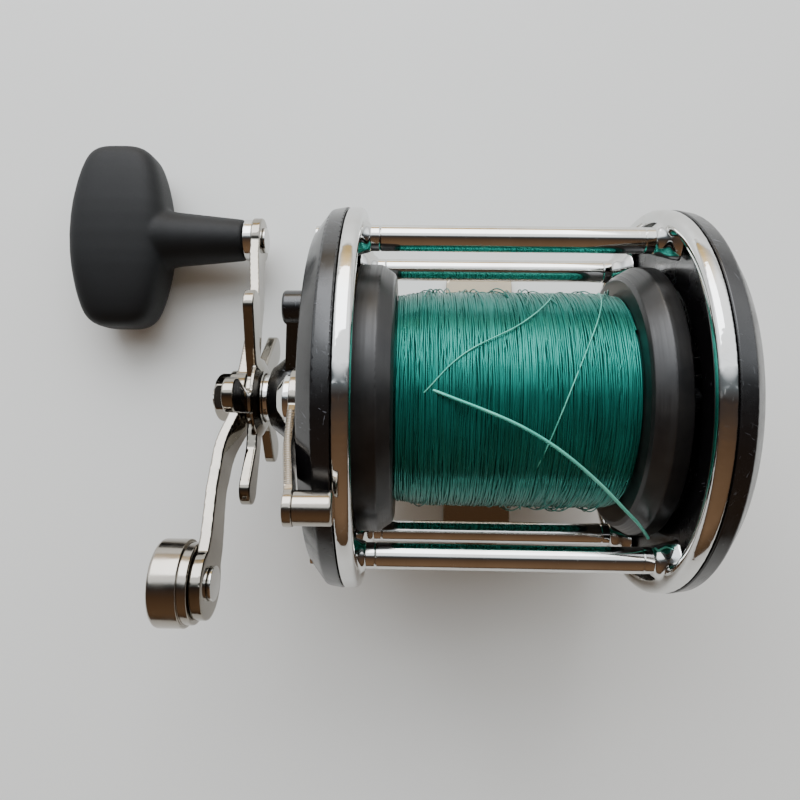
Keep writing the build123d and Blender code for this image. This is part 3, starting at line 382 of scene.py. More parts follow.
def grip_rubber(colour):
    """Soft-touch rubber moulded over the knob: nearly matt, finely pebbled, greyed where hands rub it."""
    patterns = [((3.5, 3.5, 3.5), 3.0, 0.6), ((0.06, 0.06, 0.06), 4.0, 0.5)]
    shader = {"IOR": 1.45, "Specular IOR Level": 0.36, "Sheen Weight": 0.03}
    return worn_finish("soft_touch_rubber", (colour, linear("#1A1B1D")), patterns, (1, 0.38, 0.75, 0.0, 0.35),
                       (0, 0.3, 0.7, 0.5, 0.64), shader, (0, 0.25, 0.05))


def machined_brass(colour):
    """Brass of the working parts inside: warm, finely marked by machining, with a darker film of grease."""
    patterns = [((2.2, 2.2, 2.2), 4.0, 0.7), ((0.2, 0.2, 0.2), 3.0, 0.5)]
    return worn_finish("machined_brass", (colour, linear("#8A6A34")), patterns, (1, 0.35, 0.75, 0.0, 0.6),
                       (0, 0.3, 0.7, 0.2, 0.36), {"Metallic": 1.0}, (0, 0.15, 0.02))


def ground_steel(colour):
    """Ground steel of shafts, springs and pawls: grey, with fine straight grinding lines."""
    patterns = [((0.3, 6.0, 6.0), 3.0, 0.6)]
    return worn_finish("ground_steel", (colour, linear("#7F8285")), patterns, (0, 0.3, 0.7, 0.0, 0.5),
                       (0, 0.3, 0.7, 0.22, 0.38), {"Metallic": 1.0}, (0, 0.12, 0.02))


def pressed_fibre(colour):
    """Pressed fibre of the drag washer: brown and matt, with short darker fibres."""
    patterns = [((1.0, 6.0, 1.5), 4.0, 0.7)]
    return worn_finish("pressed_fibre", (colour, linear("#3A2415")), patterns, (0, 0.0, 1.0, 0.0, 1.0),
                       (0, 0.3, 0.7, 0.7, 0.9), {}, (0, 0.3, 0.05))


def pale_table(colour):
    """Matt laminate table top, pale and almost even."""
    patterns = [((0.008, 0.008, 0.008), 3.0, 0.5)]
    return worn_finish("matt_laminate", (colour, linear("#E2E3DF")), patterns, (0, 0.3, 0.7, 0.0, 0.3),
                       (0, 0.3, 0.7, 0.6, 0.7), {})


MATERIALS = {}


def material(name):
    """One of the reel's materials, made the first time it is asked for."""
    if name not in MATERIALS:
        looks = bpy.context.scene.reel_looks
        makers = {
            "chrome": lambda: polished_chrome(looks.chrome),
            "handled": lambda: polished_chrome(looks.handled, "handled_chrome_plate"),
            "cast": lambda: cast_chrome(looks.cast),
            "aged": lambda: cast_chrome(looks.aged, "yellowed_cast_plate"),
            "plate": lambda: moulded_phenolic(looks.moulding),
            "spool": lambda: spool_moulding(looks.moulding),
            "line": lambda: nylon_line(looks.line, looks.line_shade),
            # Painted shade: the core under the turns is coloured near black so the gaps between strands look
            # shaded.
            "line_core": lambda: nylon_line(looks.line_shade, linear("#03201C"), "nylon_line_depths"),
            "loose_line": lambda: nylon_line(
                looks.loose_line, linear("#4FAF9C"), "nylon_monofilament_loose", 0.1, 0.1),
            "grip": lambda: grip_rubber(looks.grip),
            "brass": lambda: machined_brass(looks.brass),
            "steel": lambda: ground_steel(looks.steel),
            "fibre": lambda: pressed_fibre(looks.fibre),
            "table": lambda: pale_table(looks.table),
        }
        MATERIALS[name] = makers[name]()
    return MATERIALS[name]


# Mesh helpers

def link_mesh(name, mesh, finish):
    """A new object at the origin with its material."""
    mesh.materials.clear()
    mesh.materials.append(finish)
    made = bpy.data.objects.new(name, mesh)
    bpy.context.scene.collection.objects.link(made)
    return made


def baked(piece):
    """The piece with its modifiers turned into plain mesh."""
    bpy.context.view_layer.update()
    graph = bpy.context.evaluated_depsgraph_get()
    mesh = bpy.data.meshes.new_from_object(piece.evaluated_get(graph))
    piece.modifiers.clear()
    old = piece.data
    piece.data = mesh
    bpy.data.meshes.remove(old)
    mesh.name = piece.name
    return piece


def settle(piece, body, slot, *nodes):
    """Puts a finished piece on its body in place of its CAD nodes."""
    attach(piece, body)
    if nodes:
        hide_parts(*nodes)
    return piece


def shade_by_angle(bm, limit):
    """Smooth faces, with the edges sharper than the limit kept crisp."""
    for face in bm.faces:
        face.smooth = True
    for edge in bm.edges:
        edge.smooth = len(edge.link_faces) == 2 and edge.calc_face_angle(0.0) < math.radians(limit)


def finished_copy(name, node, finish, skin=0.0, softening=6, limit=35.0):
    """A CAD node's shape as one welded mesh. With a skin, in millimetres, it is wrapped anew and softened, as
    casting, tumbling and plating ease its edges."""
    bm = bmesh.new()
    bm.from_mesh(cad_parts[node].data)
    bmesh.ops.remove_doubles(bm, verts=bm.verts, dist=2e-7)
    shade_by_angle(bm, limit)
    mesh = bpy.data.meshes.new(name)
    bm.to_mesh(mesh)
    bm.free()
    piece = link_mesh(name, mesh, finish)
    if skin:
        return one_skin(piece, skin, softening)
    level = piece.modifiers.new("flat_faces_stay_flat", "WEIGHTED_NORMAL")
    level.keep_sharp = True
    return baked(piece)


def one_skin(piece, skin, softening):
    """Wraps a piece anew at a skin size in millimetres, so that what it is joined from flows together."""
    wrap = piece.modifiers.new("one_skin", "REMESH")
    wrap.mode = "VOXEL"
    wrap.voxel_size = skin * MM
    wrap.use_smooth_shade = True
    soften = piece.modifiers.new("softened_edges", "SMOOTH")
    soften.factor = 0.5
    soften.iterations = softening
    return baked(piece)


def rounded(points, radii, steps=5):
    """An outline with its corners turned to arcs."""
    outline = []
    for i, (corner, radius) in enumerate(zip(points, radii)):
        here = Vector(corner)
        if radius <= 0:
            outline.append(here)
            continue
        to_last = (Vector(points[i - 1]) - here).normalized()
        to_next = (Vector(points[(i + 1) % len(points)]) - here).normalized()
        half = to_last.angle(to_next) / 2
        middle = here + (to_last + to_next).normalized() * (radius / math.sin(half))
        first = here + to_last * (radius / math.tan(half)) - middle
        last = here + to_next * (radius / math.tan(half)) - middle
        for step in range(steps + 1):
            outline.append(middle + first.slerp(last, step / steps).normalized() * radius)
    return outline


def lathe(name, outline, axis, finish, around=128, limit=30.0):
    """Turns an outline of (x, radius), in millimetres, round a line along X through axis."""
    bm = bmesh.new()
    rings = []
    for x, radius in outline:
        if radius < 1e-6:
            rings.append([bm.verts.new((x * MM, axis.y, axis.z))])
            continue
        ring = []
        for step in range(around):
            angle = 2 * math.pi * step / around
            ring.append(bm.verts.new((x * MM, axis.y + radius * MM * math.cos(angle),
                                      axis.z + radius * MM * math.sin(angle))))
        rings.append(ring)
    if len(rings[0]) > 1 or len(rings[-1]) > 1:
        rings.append(rings[0])
    for low, high in zip(rings, rings[1:]):
        for step in range(around):
            after = (step + 1) % around
            quad = [
                low[step % len(low)],
                high[step % len(high)],
                high[after % len(high)],
                low[after % len(low)],
            ]
            corners = list(dict.fromkeys(quad))
            if len(corners) > 2:
                bm.faces.new(corners)
    bmesh.ops.recalc_face_normals(bm, faces=bm.faces)
    shade_by_angle(bm, limit)
    mesh = bpy.data.meshes.new(name)
    bm.to_mesh(mesh)
    bm.free()
    return link_mesh(name, mesh, finish)


def joined(pieces, name):
    """Several meshes as one object."""
    bm = bmesh.new()
    for piece in pieces:
        bm.from_mesh(piece.data)
    mesh = bpy.data.meshes.new(name)
    bm.to_mesh(mesh)
    bm.free()
    finish = pieces[0].data.materials[0]
    for piece in pieces:
        bpy.data.objects.remove(piece)
    return link_mesh(name, mesh, finish)


# Geometry node helpers

def geometry_tree(name, inputs):
    """A geometry tree with a geometry input and output, and named inputs given as {name: (type, default)}."""
    tree = bpy.data.node_groups.new(name, "GeometryNodeTree")
    tree.interface.new_socket("Geometry", in_out="INPUT", socket_type="NodeSocketGeometry")
    tree.interface.new_socket("Geometry", in_out="OUTPUT", socket_type="NodeSocketGeometry")
    for label, (kind, default) in inputs.items():
        socket = tree.interface.new_socket(label, in_out="INPUT", socket_type="NodeSocket" + kind)
        if default is not None:
            socket.default_value = default
    entry = add(tree, "NodeGroupInput")
    return tree, entry.outputs


def close_tree(tree, geometry, finish):
    """Ends a tree in Realize Instances and Set Material."""
    real = add(tree, "GeometryNodeRealizeInstances", {0: geometry})
    coated = add(tree, "GeometryNodeSetMaterial", {"Geometry": real.outputs[0], "Material": finish})
    add(tree, "NodeGroupOutput", {0: coated.outputs[0]})


def grown(name, tree, values, finish, start=None):
    """Runs a tree on a mesh and keeps the result as plain mesh."""
    mesh = start or bpy.data.meshes.new(name)
    piece = link_mesh(name, mesh, finish)
    modifier = piece.modifiers.new(name, "NODES")
    modifier.node_group = tree
    for item in tree.interface.items_tree:
        if item.in_out == "INPUT" and item.name in values:
            modifier[item.identifier] = values[item.name]
    baked(piece)
    piece.data.materials.clear()
    piece.data.materials.append(finish)
    return piece


def winding_tree():
    """Turns of line side by side: a spiral that wanders, dips at both flanges and is swept to a strand."""
    tree, given = geometry_tree("line_winding", {
        "Turns": ("Float", 90.0),
        "Steps": ("Int", 64),
        "Radius": ("Float", 26.0 * MM),
        "Length": ("Float", 50.0 * MM),
        "Strand": ("Float", 0.6 * MM),
        "Waviness": ("Float", 1.0),
        "Wander": ("Float", 0.25 * MM),
        "Lumps": ("Float", 0.15 * MM),
        "Near dip": ("Float", 1.3 * MM),
        "Far dip": ("Float", 0.6 * MM),
        "Seed": ("Float", 1.0),
        "Sides": ("Int", 5),
        "Strand finish": ("Material", None),
    })
    spiral = add(tree, "GeometryNodeCurveSpiral", {
        "Resolution": given["Steps"],
        "Rotations": given["Turns"],
        "Start Radius": given["Radius"],
        "End Radius": given["Radius"],
        "Height": given["Length"],
    })
    place = add(tree, "GeometryNodeInputPosition").outputs[0]
    split = add(tree, "ShaderNodeSeparateXYZ", {0: place})
    flat = add(tree, "ShaderNodeCombineXYZ", {0: split.outputs[0], 1: split.outputs[1]})
    outward = add(tree, "ShaderNodeVectorMath", {0: flat.outputs[0]}, operation="NORMALIZE").outputs[0]
    share = add(tree, "ShaderNodeMath", {
        0: split.outputs[2], 1: given["Length"],
    }, operation="DIVIDE").outputs[0]
    squeezed = add(tree, "ShaderNodeVectorMath", {
        0: place, 1: (55.0, 55.0, 900.0),
    }, operation="MULTIPLY").outputs[0]
    waves = add(tree, "ShaderNodeTexNoise", {
        "Vector": squeezed, "W": given["Seed"], "Scale": given["Waviness"], "Detail": 2.0,
    }, noise_dimensions="4D")
    broad = add(tree, "ShaderNodeTexNoise", {
        "Vector": add(tree, "ShaderNodeVectorMath", {
            0: place, 1: (40.0, 40.0, 130.0),
        }, operation="MULTIPLY").outputs[0],
        "W": given["Seed"],
        "Scale": 1.0,
        "Detail": 1.0,
    }, noise_dimensions="4D")
    colours = add(tree, "ShaderNodeSeparateXYZ", {0: waves.outputs["Color"]})
    sideways = add(tree, "ShaderNodeMath", {
        0: add(tree, "ShaderNodeMath", {0: colours.outputs[0], 1: 0.5}, operation="SUBTRACT").outputs[0],
        1: given["Wander"],
    }, operation="MULTIPLY").outputs[0]
    bumps = add(tree, "ShaderNodeMath", {
        0: add(tree, "ShaderNodeMath", {0: colours.outputs[1], 1: 0.5}, operation="SUBTRACT").outputs[0],
        1: given["Lumps"],
    }, operation="MULTIPLY").outputs[0]
    swell = add(tree, "ShaderNodeMath", {
        0: add(tree, "ShaderNodeMath", {0: broad.outputs["Fac"], 1: 0.5}, operation="SUBTRACT").outputs[0],
        1: given["Lumps"],
    }, operation="MULTIPLY").outputs[0]
    near = add(tree, "ShaderNodeMapRange", {0: share, 1: 0.0, 2: 0.14, 3: 1.0, 4: 0.0},
               interpolation_type="SMOOTHSTEP").outputs[0]
    far = add(tree, "ShaderNodeMapRange", {0: share, 1: 0.93, 2: 1.0, 3: 0.0, 4: 1.0},
              interpolation_type="SMOOTHSTEP").outputs[0]
    drop = add(tree, "ShaderNodeMath", {
        0: add(tree, "ShaderNodeMath", {0: near, 1: given["Near dip"]}, operation="MULTIPLY").outputs[0],
        1: add(tree, "ShaderNodeMath", {0: far, 1: given["Far dip"]}, operation="MULTIPLY").outputs[0],
    }, operation="ADD").outputs[0]
    rise = add(tree, "ShaderNodeMath", {
        0: add(tree, "ShaderNodeMath", {
            0: bumps,
            1: add(tree, "ShaderNodeMath", {0: swell, 1: 2.0}, operation="MULTIPLY").outputs[0],
        }, operation="ADD").outputs[0],
        1: drop,
    }, operation="SUBTRACT").outputs[0]
    lift = add(tree, "ShaderNodeVectorMath", {0: outward, 3: rise}, operation="SCALE").outputs[0]
    slide = add(tree, "ShaderNodeCombineXYZ", {
        2: add(tree, "ShaderNodeMath", {0: sideways, 1: 2.0}, operation="MULTIPLY").outputs[0],
    }).outputs[0]
    move = add(tree, "ShaderNodeVectorMath", {0: lift, 1: slide}, operation="ADD").outputs[0]
    laid = add(tree, "GeometryNodeSetPosition", {"Geometry": spiral.outputs[0], "Offset": move})
    section = add(tree, "GeometryNodeCurvePrimitiveCircle", {
        "Resolution": given["Sides"],
        "Radius": add(tree, "ShaderNodeMath", {0: given["Strand"], 1: 0.5}, operation="MULTIPLY").outputs[0],
    })
    strand = add(tree, "GeometryNodeCurveToMesh", {
        "Curve": laid.outputs[0],
        "Profile Curve": section.outputs[0],
        "Fill Caps": True,
    })
    smooth = add(tree, "GeometryNodeSetShadeSmooth", {0: strand.outputs[0]})
    close_tree(tree, smooth.outputs[0], given["Strand finish"])
    return tree


def scattered_tree(name):
    """Copies of a pattern object on the points of the start mesh."""
    tree, given = geometry_tree(name, {
        "Pattern": ("Object", None),
        "Finish": ("Material", None),
    })
    pattern = add(tree, "GeometryNodeObjectInfo", {"Object": given["Pattern"]})
    copies = add(tree, "GeometryNodeInstanceOnPoints", {
        "Points": given["Geometry"],
        "Instance": pattern.outputs["Geometry"],
    })
    close_tree(tree, copies.outputs[0], given["Finish"])
    return tree


def rib_tree():
    """Short ribs side by side along a straight strip."""
    tree, given = geometry_tree("strip_ribs", {
        "Count": ("Int", 30),
        "Start": ("Vector", (0.0, 0.0, 0.0)),
        "Step": ("Vector", (0.0, 0.0, MM)),
        "Rib width": ("Float", 0.3 * MM),
        "Rib length": ("Float", 2.3 * MM),
        "Turn": ("Float", 0.0),
        "Finish": ("Material", None),
    })
    line = add(tree, "GeometryNodeMeshLine", {
        "Count": given["Count"],
        "Start Location": given["Start"],
        "Offset": given["Step"],
    })
    rib = add(tree, "GeometryNodeMeshCylinder", {
        "Vertices": 8,
        "Radius": add(tree, "ShaderNodeMath", {
            0: given["Rib width"], 1: 0.5,
        }, operation="MULTIPLY").outputs[0],
        "Depth": given["Rib length"],
    })
    turned = add(tree, "ShaderNodeCombineXYZ", {0: given["Turn"], 1: math.pi / 2})
    copies = add(tree, "GeometryNodeInstanceOnPoints", {
        "Points": line.outputs[0],
        "Instance": rib.outputs[0],
        "Rotation": turned.outputs[0],
    })
    smooth = add(tree, "GeometryNodeSetShadeSmooth", {0: copies.outputs[0]})
    close_tree(tree, smooth.outputs[0], given["Finish"])
    return tree


# Settings

def colour_setting(name, description, hex_colour):
    """A colour in the panel, given as sRGB hex."""
    return bpy.props.FloatVectorProperty(
        name=name, description=description, subtype="COLOR", size=3, min=0, max=1, default=linear(hex_colour))


class ReelLooks(bpy.types.PropertyGroup):
    """Colours of the reel's materials."""
    chrome: colour_setting("Chrome", "Plated metal", "#DEDEDC")
    handled: colour_setting("Handled chrome", "Plate of the handle and star, dulled by hands", "#928D84")
    cast: colour_setting("Cast chrome", "Plate over castings", "#A6A097")
    aged: colour_setting("Aged chrome", "Yellowed plate of the foot", "#B3A68E")
    moulding: colour_setting("Moulding", "Side plates and spool", "#0E0D0E")
    # Painted light and shade: line is the lit colour of the strands and line_shade their shaded colour;
    # line_shade is also the lighter end of the core's painted shade.
    line: colour_setting("Line", "Lit strands of the wound line", "#0F5950")
    line_shade: colour_setting("Line shade", "Darker strands of the wound line", "#0A433B")
    loose_line: colour_setting("Loose line", "The free end", "#74CDB6")
    grip: colour_setting("Grip", "Rubber of the knob", "#0B0C0D")
    brass: colour_setting("Brass", "Working parts", "#C9A55C")
    steel: colour_setting("Steel", "Shafts and springs", "#A9ABAE")
    fibre: colour_setting("Fibre", "Drag washer", "#5A3A22")
    table: colour_setting("Table", "The surface under the reel", "#EEEFEC")


class ReelSizes(bpy.types.PropertyGroup):
    """Sizes that can be changed by themselves."""
    strand: bpy.props.FloatProperty(
        name="Wound strand", description="Thickness of a turn of line", unit="LENGTH", default=0.48 * MM)
    turns: bpy.props.IntProperty(name="Turns", description="Turns in the top layer", default=114, min=1)
    crossing_turns: bpy.props.IntProperty(
        name="Crossing turns", description="Turns that ride over the layer", default=64, min=1)
    free_line: bpy.props.FloatProperty(
        name="Free line", description="Diameter of the loose end", unit="LENGTH", default=0.75 * MM)
    ribs: bpy.props.IntProperty(
        name="Lever ribs", description="Grip ribs on the lever's edge", default=44, min=4)


class StageSettings(bpy.types.PropertyGroup):
    """Camera and light."""
    lens: bpy.props.FloatProperty(
        name="Lens", description="Focal length for a 36 mm sensor", unit="CAMERA", default=29.57)
    eye: bpy.props.FloatVectorProperty(
        name="Eye", description="Place of the camera", subtype="TRANSLATION", unit="LENGTH", size=3,
        default=(-0.02213, -0.00427, 0.22187))
    tilt: bpy.props.FloatVectorProperty(
        name="Tilt", description="Turn of a camera that looks straight down", subtype="EULER",
        unit="ROTATION", size=3, default=(math.radians(1.333), math.radians(0.974), math.radians(0.839)))
    key: bpy.props.FloatProperty(
        name="Key light", description="Power of the window light", unit="POWER", default=9.0)
    fill: bpy.props.FloatProperty(
        name="Fill light", description="Power of the soft fill", unit="POWER", default=0.4)
    sky: bpy.props.FloatProperty(name="Room light", description="Strength of the room around", default=2.2)


# Operators

class REEL_OT_rings(bpy.types.Operator):
    """Make the two chromed rings: a turned lip, with a flared ear round each post's end"""
    bl_idname = "reel.rings"
    bl_label = "Rings"

    def execute(self, context):
        chrome = material("chrome")
        for node, side in (("handle_side_ring", -1), ("tail_side_ring", 1)):
            low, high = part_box(node)
            ear, joint = sorted((abs(low.x) / MM, abs(high.x) / MM))
            rim = (high.z - low.z) / 2 / MM
            wall = 3.2
            lip = [(ear + 1.7, rim - wall), (ear + 1.7, rim), (joint, rim), (joint, rim - wall)]
            outline = [(side * x, r) for x, r in rounded(lip, [0.8, 1.3, 0.3, 0], 6)]
            parts = [lathe(node, outline, SPOOL_AXIS, chrome, 256)]
            for post in FRAME_POSTS + STAND_POSTS:
                parts.append(flared_ear(side, ear, joint, rim, post, chrome))
            piece = one_skin(joined(parts, node + "_chromed"), 0.36, 34)
            settle(piece, "frame", "chromed_brass", node)
        return {"FINISHED"}


def flared_ear(side, ear, joint, rim, post, finish):
    """The boss that takes a post's end: it spreads towards the ring and stays inside the ring's rim."""
    flare = [(ear, 0), (ear, 3.25), (ear + 0.4, 3.45), (ear + 1.2, 3.85), (ear + 2.0, 4.5), (ear + 2.8, 5.6),
             (joint - 0.6, 7.4), (joint - 0.6, 0)]
    made = lathe("ear", [(side * x, r) for x, r in flare], centre(post), finish, 64, 50.0)
    inner_limit = 36.2
    for vertex in made.data.vertices:
        out = Vector((0, vertex.co.y - SPOOL_AXIS.y, vertex.co.z - SPOOL_AXIS.z))
        reach = rim - (0.5 if abs(vertex.co.x) > (ear + 1.9) * MM else 1.2)
        if out.length > reach * MM:
            vertex.co -= out.normalized() * (out.length - reach * MM)
        elif out.length < inner_limit * MM:
            vertex.co += out.normalized() * (inner_limit * MM - out.length)
    return made


class REEL_OT_posts(bpy.types.Operator):
    """Make the round posts, with a fine groove turned near each end"""
    bl_idname = "reel.posts"
    bl_label = "Posts"

    def execute(self, context):
        groove = 0.18
        for node in FRAME_POSTS + STAND_POSTS:
            low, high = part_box(node)
            radius = (high.z - low.z) / 2 / MM
            end = high.x / MM
            shoulder = end - 3.2
            half = [
                (0, radius),
                (shoulder - 0.5, radius),
                (shoulder - 0.25, radius - groove),
                (shoulder, radius),
                (end - 0.2, radius),
                (end, radius - 0.2),
                (end, 0),
            ]
            outline = [(-x, r) for x, r in half[:0:-1]] + half[1:]
            piece = lathe(node + "_turned", outline, centre(node), material("chrome"), 64)
            settle(piece, "frame", "chromed_brass", node)
        return {"FINISHED"}


class REEL_OT_side_plates(bpy.types.Operator):
    """Make the black moulded side plates"""
    bl_idname = "reel.side_plates"
    bl_label = "Side plates"

    def execute(self, context):
        for node in ("handle_side_plate", "tail_side_plate"):
            piece = finished_copy(node + "_moulded", node, material("plate"))
            settle(piece, "frame", "moulded_phenolic", node)
        return {"FINISHED"}


class REEL_OT_screws(bpy.types.Operator):
    """Make the slotted screws of the side plates as copies of one head"""
    bl_idname = "reel.screws"
    bl_label = "Screws"

    def execute(self, context):
        tree = scattered_tree("plate_screws")
        for node, side in (("handle_side_screws", -1), ("tail_side_screws", 1)):
            low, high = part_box(node)
            outer = high.x if side > 0 else low.x
            pattern = screw_pattern(side)
            points = bpy.data.meshes.new(node)
            spots = [(outer, centre(post).y, centre(post).z) for post in FRAME_POSTS + STAND_POSTS]
            points.from_pydata(spots, [], [])
            values = {"Pattern": pattern, "Finish": material("chrome")}
            piece = grown(node + "_slotted", tree, values, material("chrome"), points)
            bpy.data.objects.remove(pattern)
            settle(piece, "frame", "chromed_brass", node)
        return {"FINISHED"}


def screw_pattern(side):
    """One screw with its head's outer face at x = 0 and its shank running back along X."""
    radius = 2.6
    depth = 0.7
    half_slot = 0.4
    bm = bmesh.new()
    for half in (-1, 1):
        arc = []
        start = math.asin(half_slot / radius)
        for step in range(17):
            angle = start + (math.pi - 2 * start) * step / 16
            arc.append((radius * math.cos(angle), half * radius * math.sin(angle)))
        low = [bm.verts.new((-side * depth * MM, y * MM, z * MM)) for y, z in arc]
        high = [bm.verts.new((0.0, y * MM, z * MM)) for y, z in arc]
        bm.faces.new(low)
        bm.faces.new(high)
        for i in range(len(arc)):
            j = (i + 1) % len(arc)
            bm.faces.new((low[i], low[j], high[j], high[i]))
    bmesh.ops.recalc_face_normals(bm, faces=bm.faces)
    sharp = [edge for edge in bm.edges if edge.calc_face_angle(0.0) > math.radians(40)]
    bmesh.ops.bevel(bm, geom=sharp, offset=0.12 * MM, segments=2, affect="EDGES", profile=0.5)
    shade_by_angle(bm, 40.0)
    top = bpy.data.meshes.new("screw_top")
    bm.to_mesh(top)
    bm.free()
    head = link_mesh("screw_top", top, material("chrome"))
    shank_radius = 1.5
    shank_end = 11
    slot_floor = 11.6
    under = rounded([(0, 0), (0, shank_radius), (shank_end, shank_radius), (shank_end, radius),
                     (slot_floor, radius), (slot_floor, 0)], [0, 0, 0, 0.1, 0.1, 0])
    outline = [(side * (x - slot_floor - depth), r) for x, r in under]
    shank = lathe("screw_shank", outline, Vector((0, 0, 0)), material("chrome"), 32)
    return joined([head, shank], "screw_pattern")


class REEL_OT_spool(bpy.types.Operator):
    """Make the moulded spool with its two thick flanges"""
    bl_idname = "reel.spool"
    bl_label = "Spool"

    def execute(self, context):
        piece = finished_copy("spool_moulded", "spool_body", material("spool"))
        settle(piece, "spool", "spool_phenolic", "spool_body")
        return {"FINISHED"}


class REEL_OT_wound_line(bpy.types.Operator):
    """Wind the line: a packed core painted dark as the shade in the depths between turns, one close layer,
    and looser turns that cross it
    """
    bl_idname = "reel.wound_line"
    bl_label = "Wound line"

    def execute(self, context):
        sizes = context.scene.reel_sizes
        low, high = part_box("wound_line")
        radius = (high.z - low.z) / 2
        length = high.x - low.x
        strand = sizes.strand
        tree = winding_tree()
        core_r = radius / MM - 1.0
        hub_r = 8.9
        x_low, x_high = low.x / MM, high.x / MM
        outline = [(x_low, hub_r), (x_low, core_r - 1.4), (x_low + 7, core_r - 0.2), (x_high - 4, core_r),
                   (x_high, core_r - 0.8), (x_high, hub_r)]
        # The core's dark colour is painted shade for the depths between the turns.
        core = lathe("line_core", outline, SPOOL_AXIS, material("line_core"), 96)
        settle(core, "spool", "monofilament", "wound_line")
        # Name, turns, depth under the surface and thickness in strands, wander and lumps in millimetres,
        # seed, steps a turn, waviness, and whether the turns lean the other way
        layers = [
            ("line_layer", sizes.turns, 0.95, 1.0, 0.3, 0.3, 1.0, 76, 1.0, False),
            ("line_crossings", sizes.crossing_turns, 0.66, 1.0, 1.3, 0.35, 7.0, 72, 1.0, False),
            ("line_crossings_back", sizes.crossing_turns * 0.6, 0.62, 1.0, 1.8, 0.35, 12.0, 72, 1.0, True),
            ("line_slack_turns", 17, 0.6, 0.72, 1.8, 1.1, 21.0, 110, 2.6, False),
        ]
        for name, turns, depth, thickness, wander, lumps, seed, steps, waviness, mirrored in layers:
            values = {
                "Turns": float(turns),
                "Steps": steps,
                "Radius": radius - strand * depth,
                "Length": length - strand * 1.4,
                "Strand": strand * thickness,
                "Waviness": waviness,
                "Wander": wander * MM,
                "Lumps": lumps * MM,
                "Near dip": 0.9 * MM,
                "Far dip": 0.7 * MM,
                "Seed": seed,
                "Sides": 6,
                "Strand finish": material("line"),
            }
            piece = grown(name, tree, values, material("line"))
            turn = Matrix.Rotation(math.pi / 2, 4, "Y")
            shift = Matrix.Translation((low.x + strand * 0.7, SPOOL_AXIS.y, SPOOL_AXIS.z))
            piece.data.transform(shift @ turn)
            if mirrored:
                flip = Matrix.Translation((0, 2 * SPOOL_AXIS.y, 0)) @ Matrix.Scale(-1, 4, (0, 1, 0))
                piece.data.transform(flip)
                piece.data.flip_normals()
            settle(piece, "spool", "monofilament")
        return {"FINISHED"}


def swept_curve(name, points, diameter, finish, order=4, resolution=6):
    """A round strand along a smooth spline through control points."""
    curve = bpy.data.curves.new(name, "CURVE")
    curve.dimensions = "3D"
    spline = curve.splines.new("NURBS")
    spline.points.add(len(points) - 1)
    for point, place in zip(spline.points, points):
        point.co = (place[0], place[1], place[2], 1.0)
    spline.use_endpoint_u = True
    spline.order_u = order
    spline.resolution_u = resolution
    curve.bevel_depth = diameter / 2
    curve.bevel_resolution = 2
    curve.use_fill_caps = True
    curve.materials.append(finish)
    made = bpy.data.objects.new(name, curve)
    bpy.context.scene.collection.objects.link(made)
    return made


def on_line(x, angle, above=0.0):
    """A point over the wound line: x and height in millimetres, angle from +Z towards -Y in degrees."""
    low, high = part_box("wound_line")
    radius = (high.z - low.z) / 2 + (above - 0.12) * MM
    return (
        x * MM,
        SPOOL_AXIS.y - radius * math.sin(math.radians(angle)),
        SPOOL_AXIS.z + radius * math.cos(math.radians(angle)),
    )


# Loose wraps that lie over the winding, as (x in millimetres, angle, millimetres above)
STRAY_WRAPS = {
    "stray_wrap_a": [(12, -80, 0.0), (10.5, -65, 0.2), (8.5, -54, 0.5), (6.2, -46.5, 0.6), (1.2, -35.5, 0.5),
                     (-3.3, -29.5, 0.6), (-9.8, -22.3, 0.5), (-15.1, -12.4, 0.3), (-17.9, -4.6, 0.2),
                     (-19.6, -1.0, -0.2)],
    "stray_wrap_b": [(23, -80, 0.2), (21.5, -60, 0.8), (19.5, -45, 0.9), (17.3, -33, 0.9), (12.1, -8, 0.9),
                     (8.1, 15, 0.9), (5, 38, 0.5), (2.6, 60, 0.2), (1.5, 82, -0.1)],
    "stray_wrap_c": [(6, -70, -0.1), (5.2, -52, 0.3), (4.2, -40, 0.3), (3.2, -32, 0.2), (2.9, -22, -0.2)],
    "stray_wrap_d": [(-12, 30, -0.1), (-8, 44, 0.2), (-2, 62, 0.3), (5, 78, 0.2), (9, 92, -0.1)],
}


REAR_LOOPS = 30
FRONT_LOOPS = 16


class REEL_OT_stray_line(bpy.types.Operator):
    """Lay the stray wraps and the small loops that stand off the winding"""
    bl_idname = "reel.stray_line"
    bl_label = "Stray wraps"

    def execute(self, context):
        strand = context.scene.reel_sizes.strand
        made = []
        for name, points in STRAY_WRAPS.items():
            places = [on_line(*point) for point in points]
            finish = material("loose_line" if name in ("stray_wrap_a", "stray_wrap_b") else "line")
            made.append(baked_curve(swept_curve(name, places, strand * 0.66, finish)))
        rng = random.Random(11)
        for number in range(REAR_LOOPS + FRONT_LOOPS):
            at_rear = number < REAR_LOOPS
            x = rng.uniform(-20, 26)
            angle = rng.uniform(-96, -70) if at_rear else rng.uniform(66, 96)
            reach = rng.uniform(8, 20)
            height = rng.uniform(0.4, 1.3)
            lean = rng.uniform(-3.0, 3.0)
            arch = [(x - lean, angle - reach, -0.3), (x - lean / 2, angle - reach / 2, height * 0.8),
                    (x, angle, height), (x + lean / 2, angle + reach / 2, height * 0.7),
                    (x + lean, angle + reach, -0.3)]
            places = [on_line(*point) for point in arch]
            made.append(baked_curve(swept_curve("loop", places, strand * 0.62, material("line"), 4, 5)))
        piece = joined(made[len(STRAY_WRAPS):], "line_loops")
        settle(piece, "spool", "monofilament")
        for wrap in made[:len(STRAY_WRAPS)]:
            settle(wrap, "spool", "monofilament")
        return {"FINISHED"}


def baked_curve(curve):
    """A curve object turned into a mesh object of the same name."""
    bpy.context.view_layer.update()
    graph = bpy.context.evaluated_depsgraph_get()
    mesh = bpy.data.meshes.new_from_object(curve.evaluated_get(graph))
    name = curve.name
    finish = curve.data.materials[0]
    bpy.data.objects.remove(curve)
    for face in mesh.polygons:
        face.use_smooth = True
    return link_mesh(name, mesh, finish)


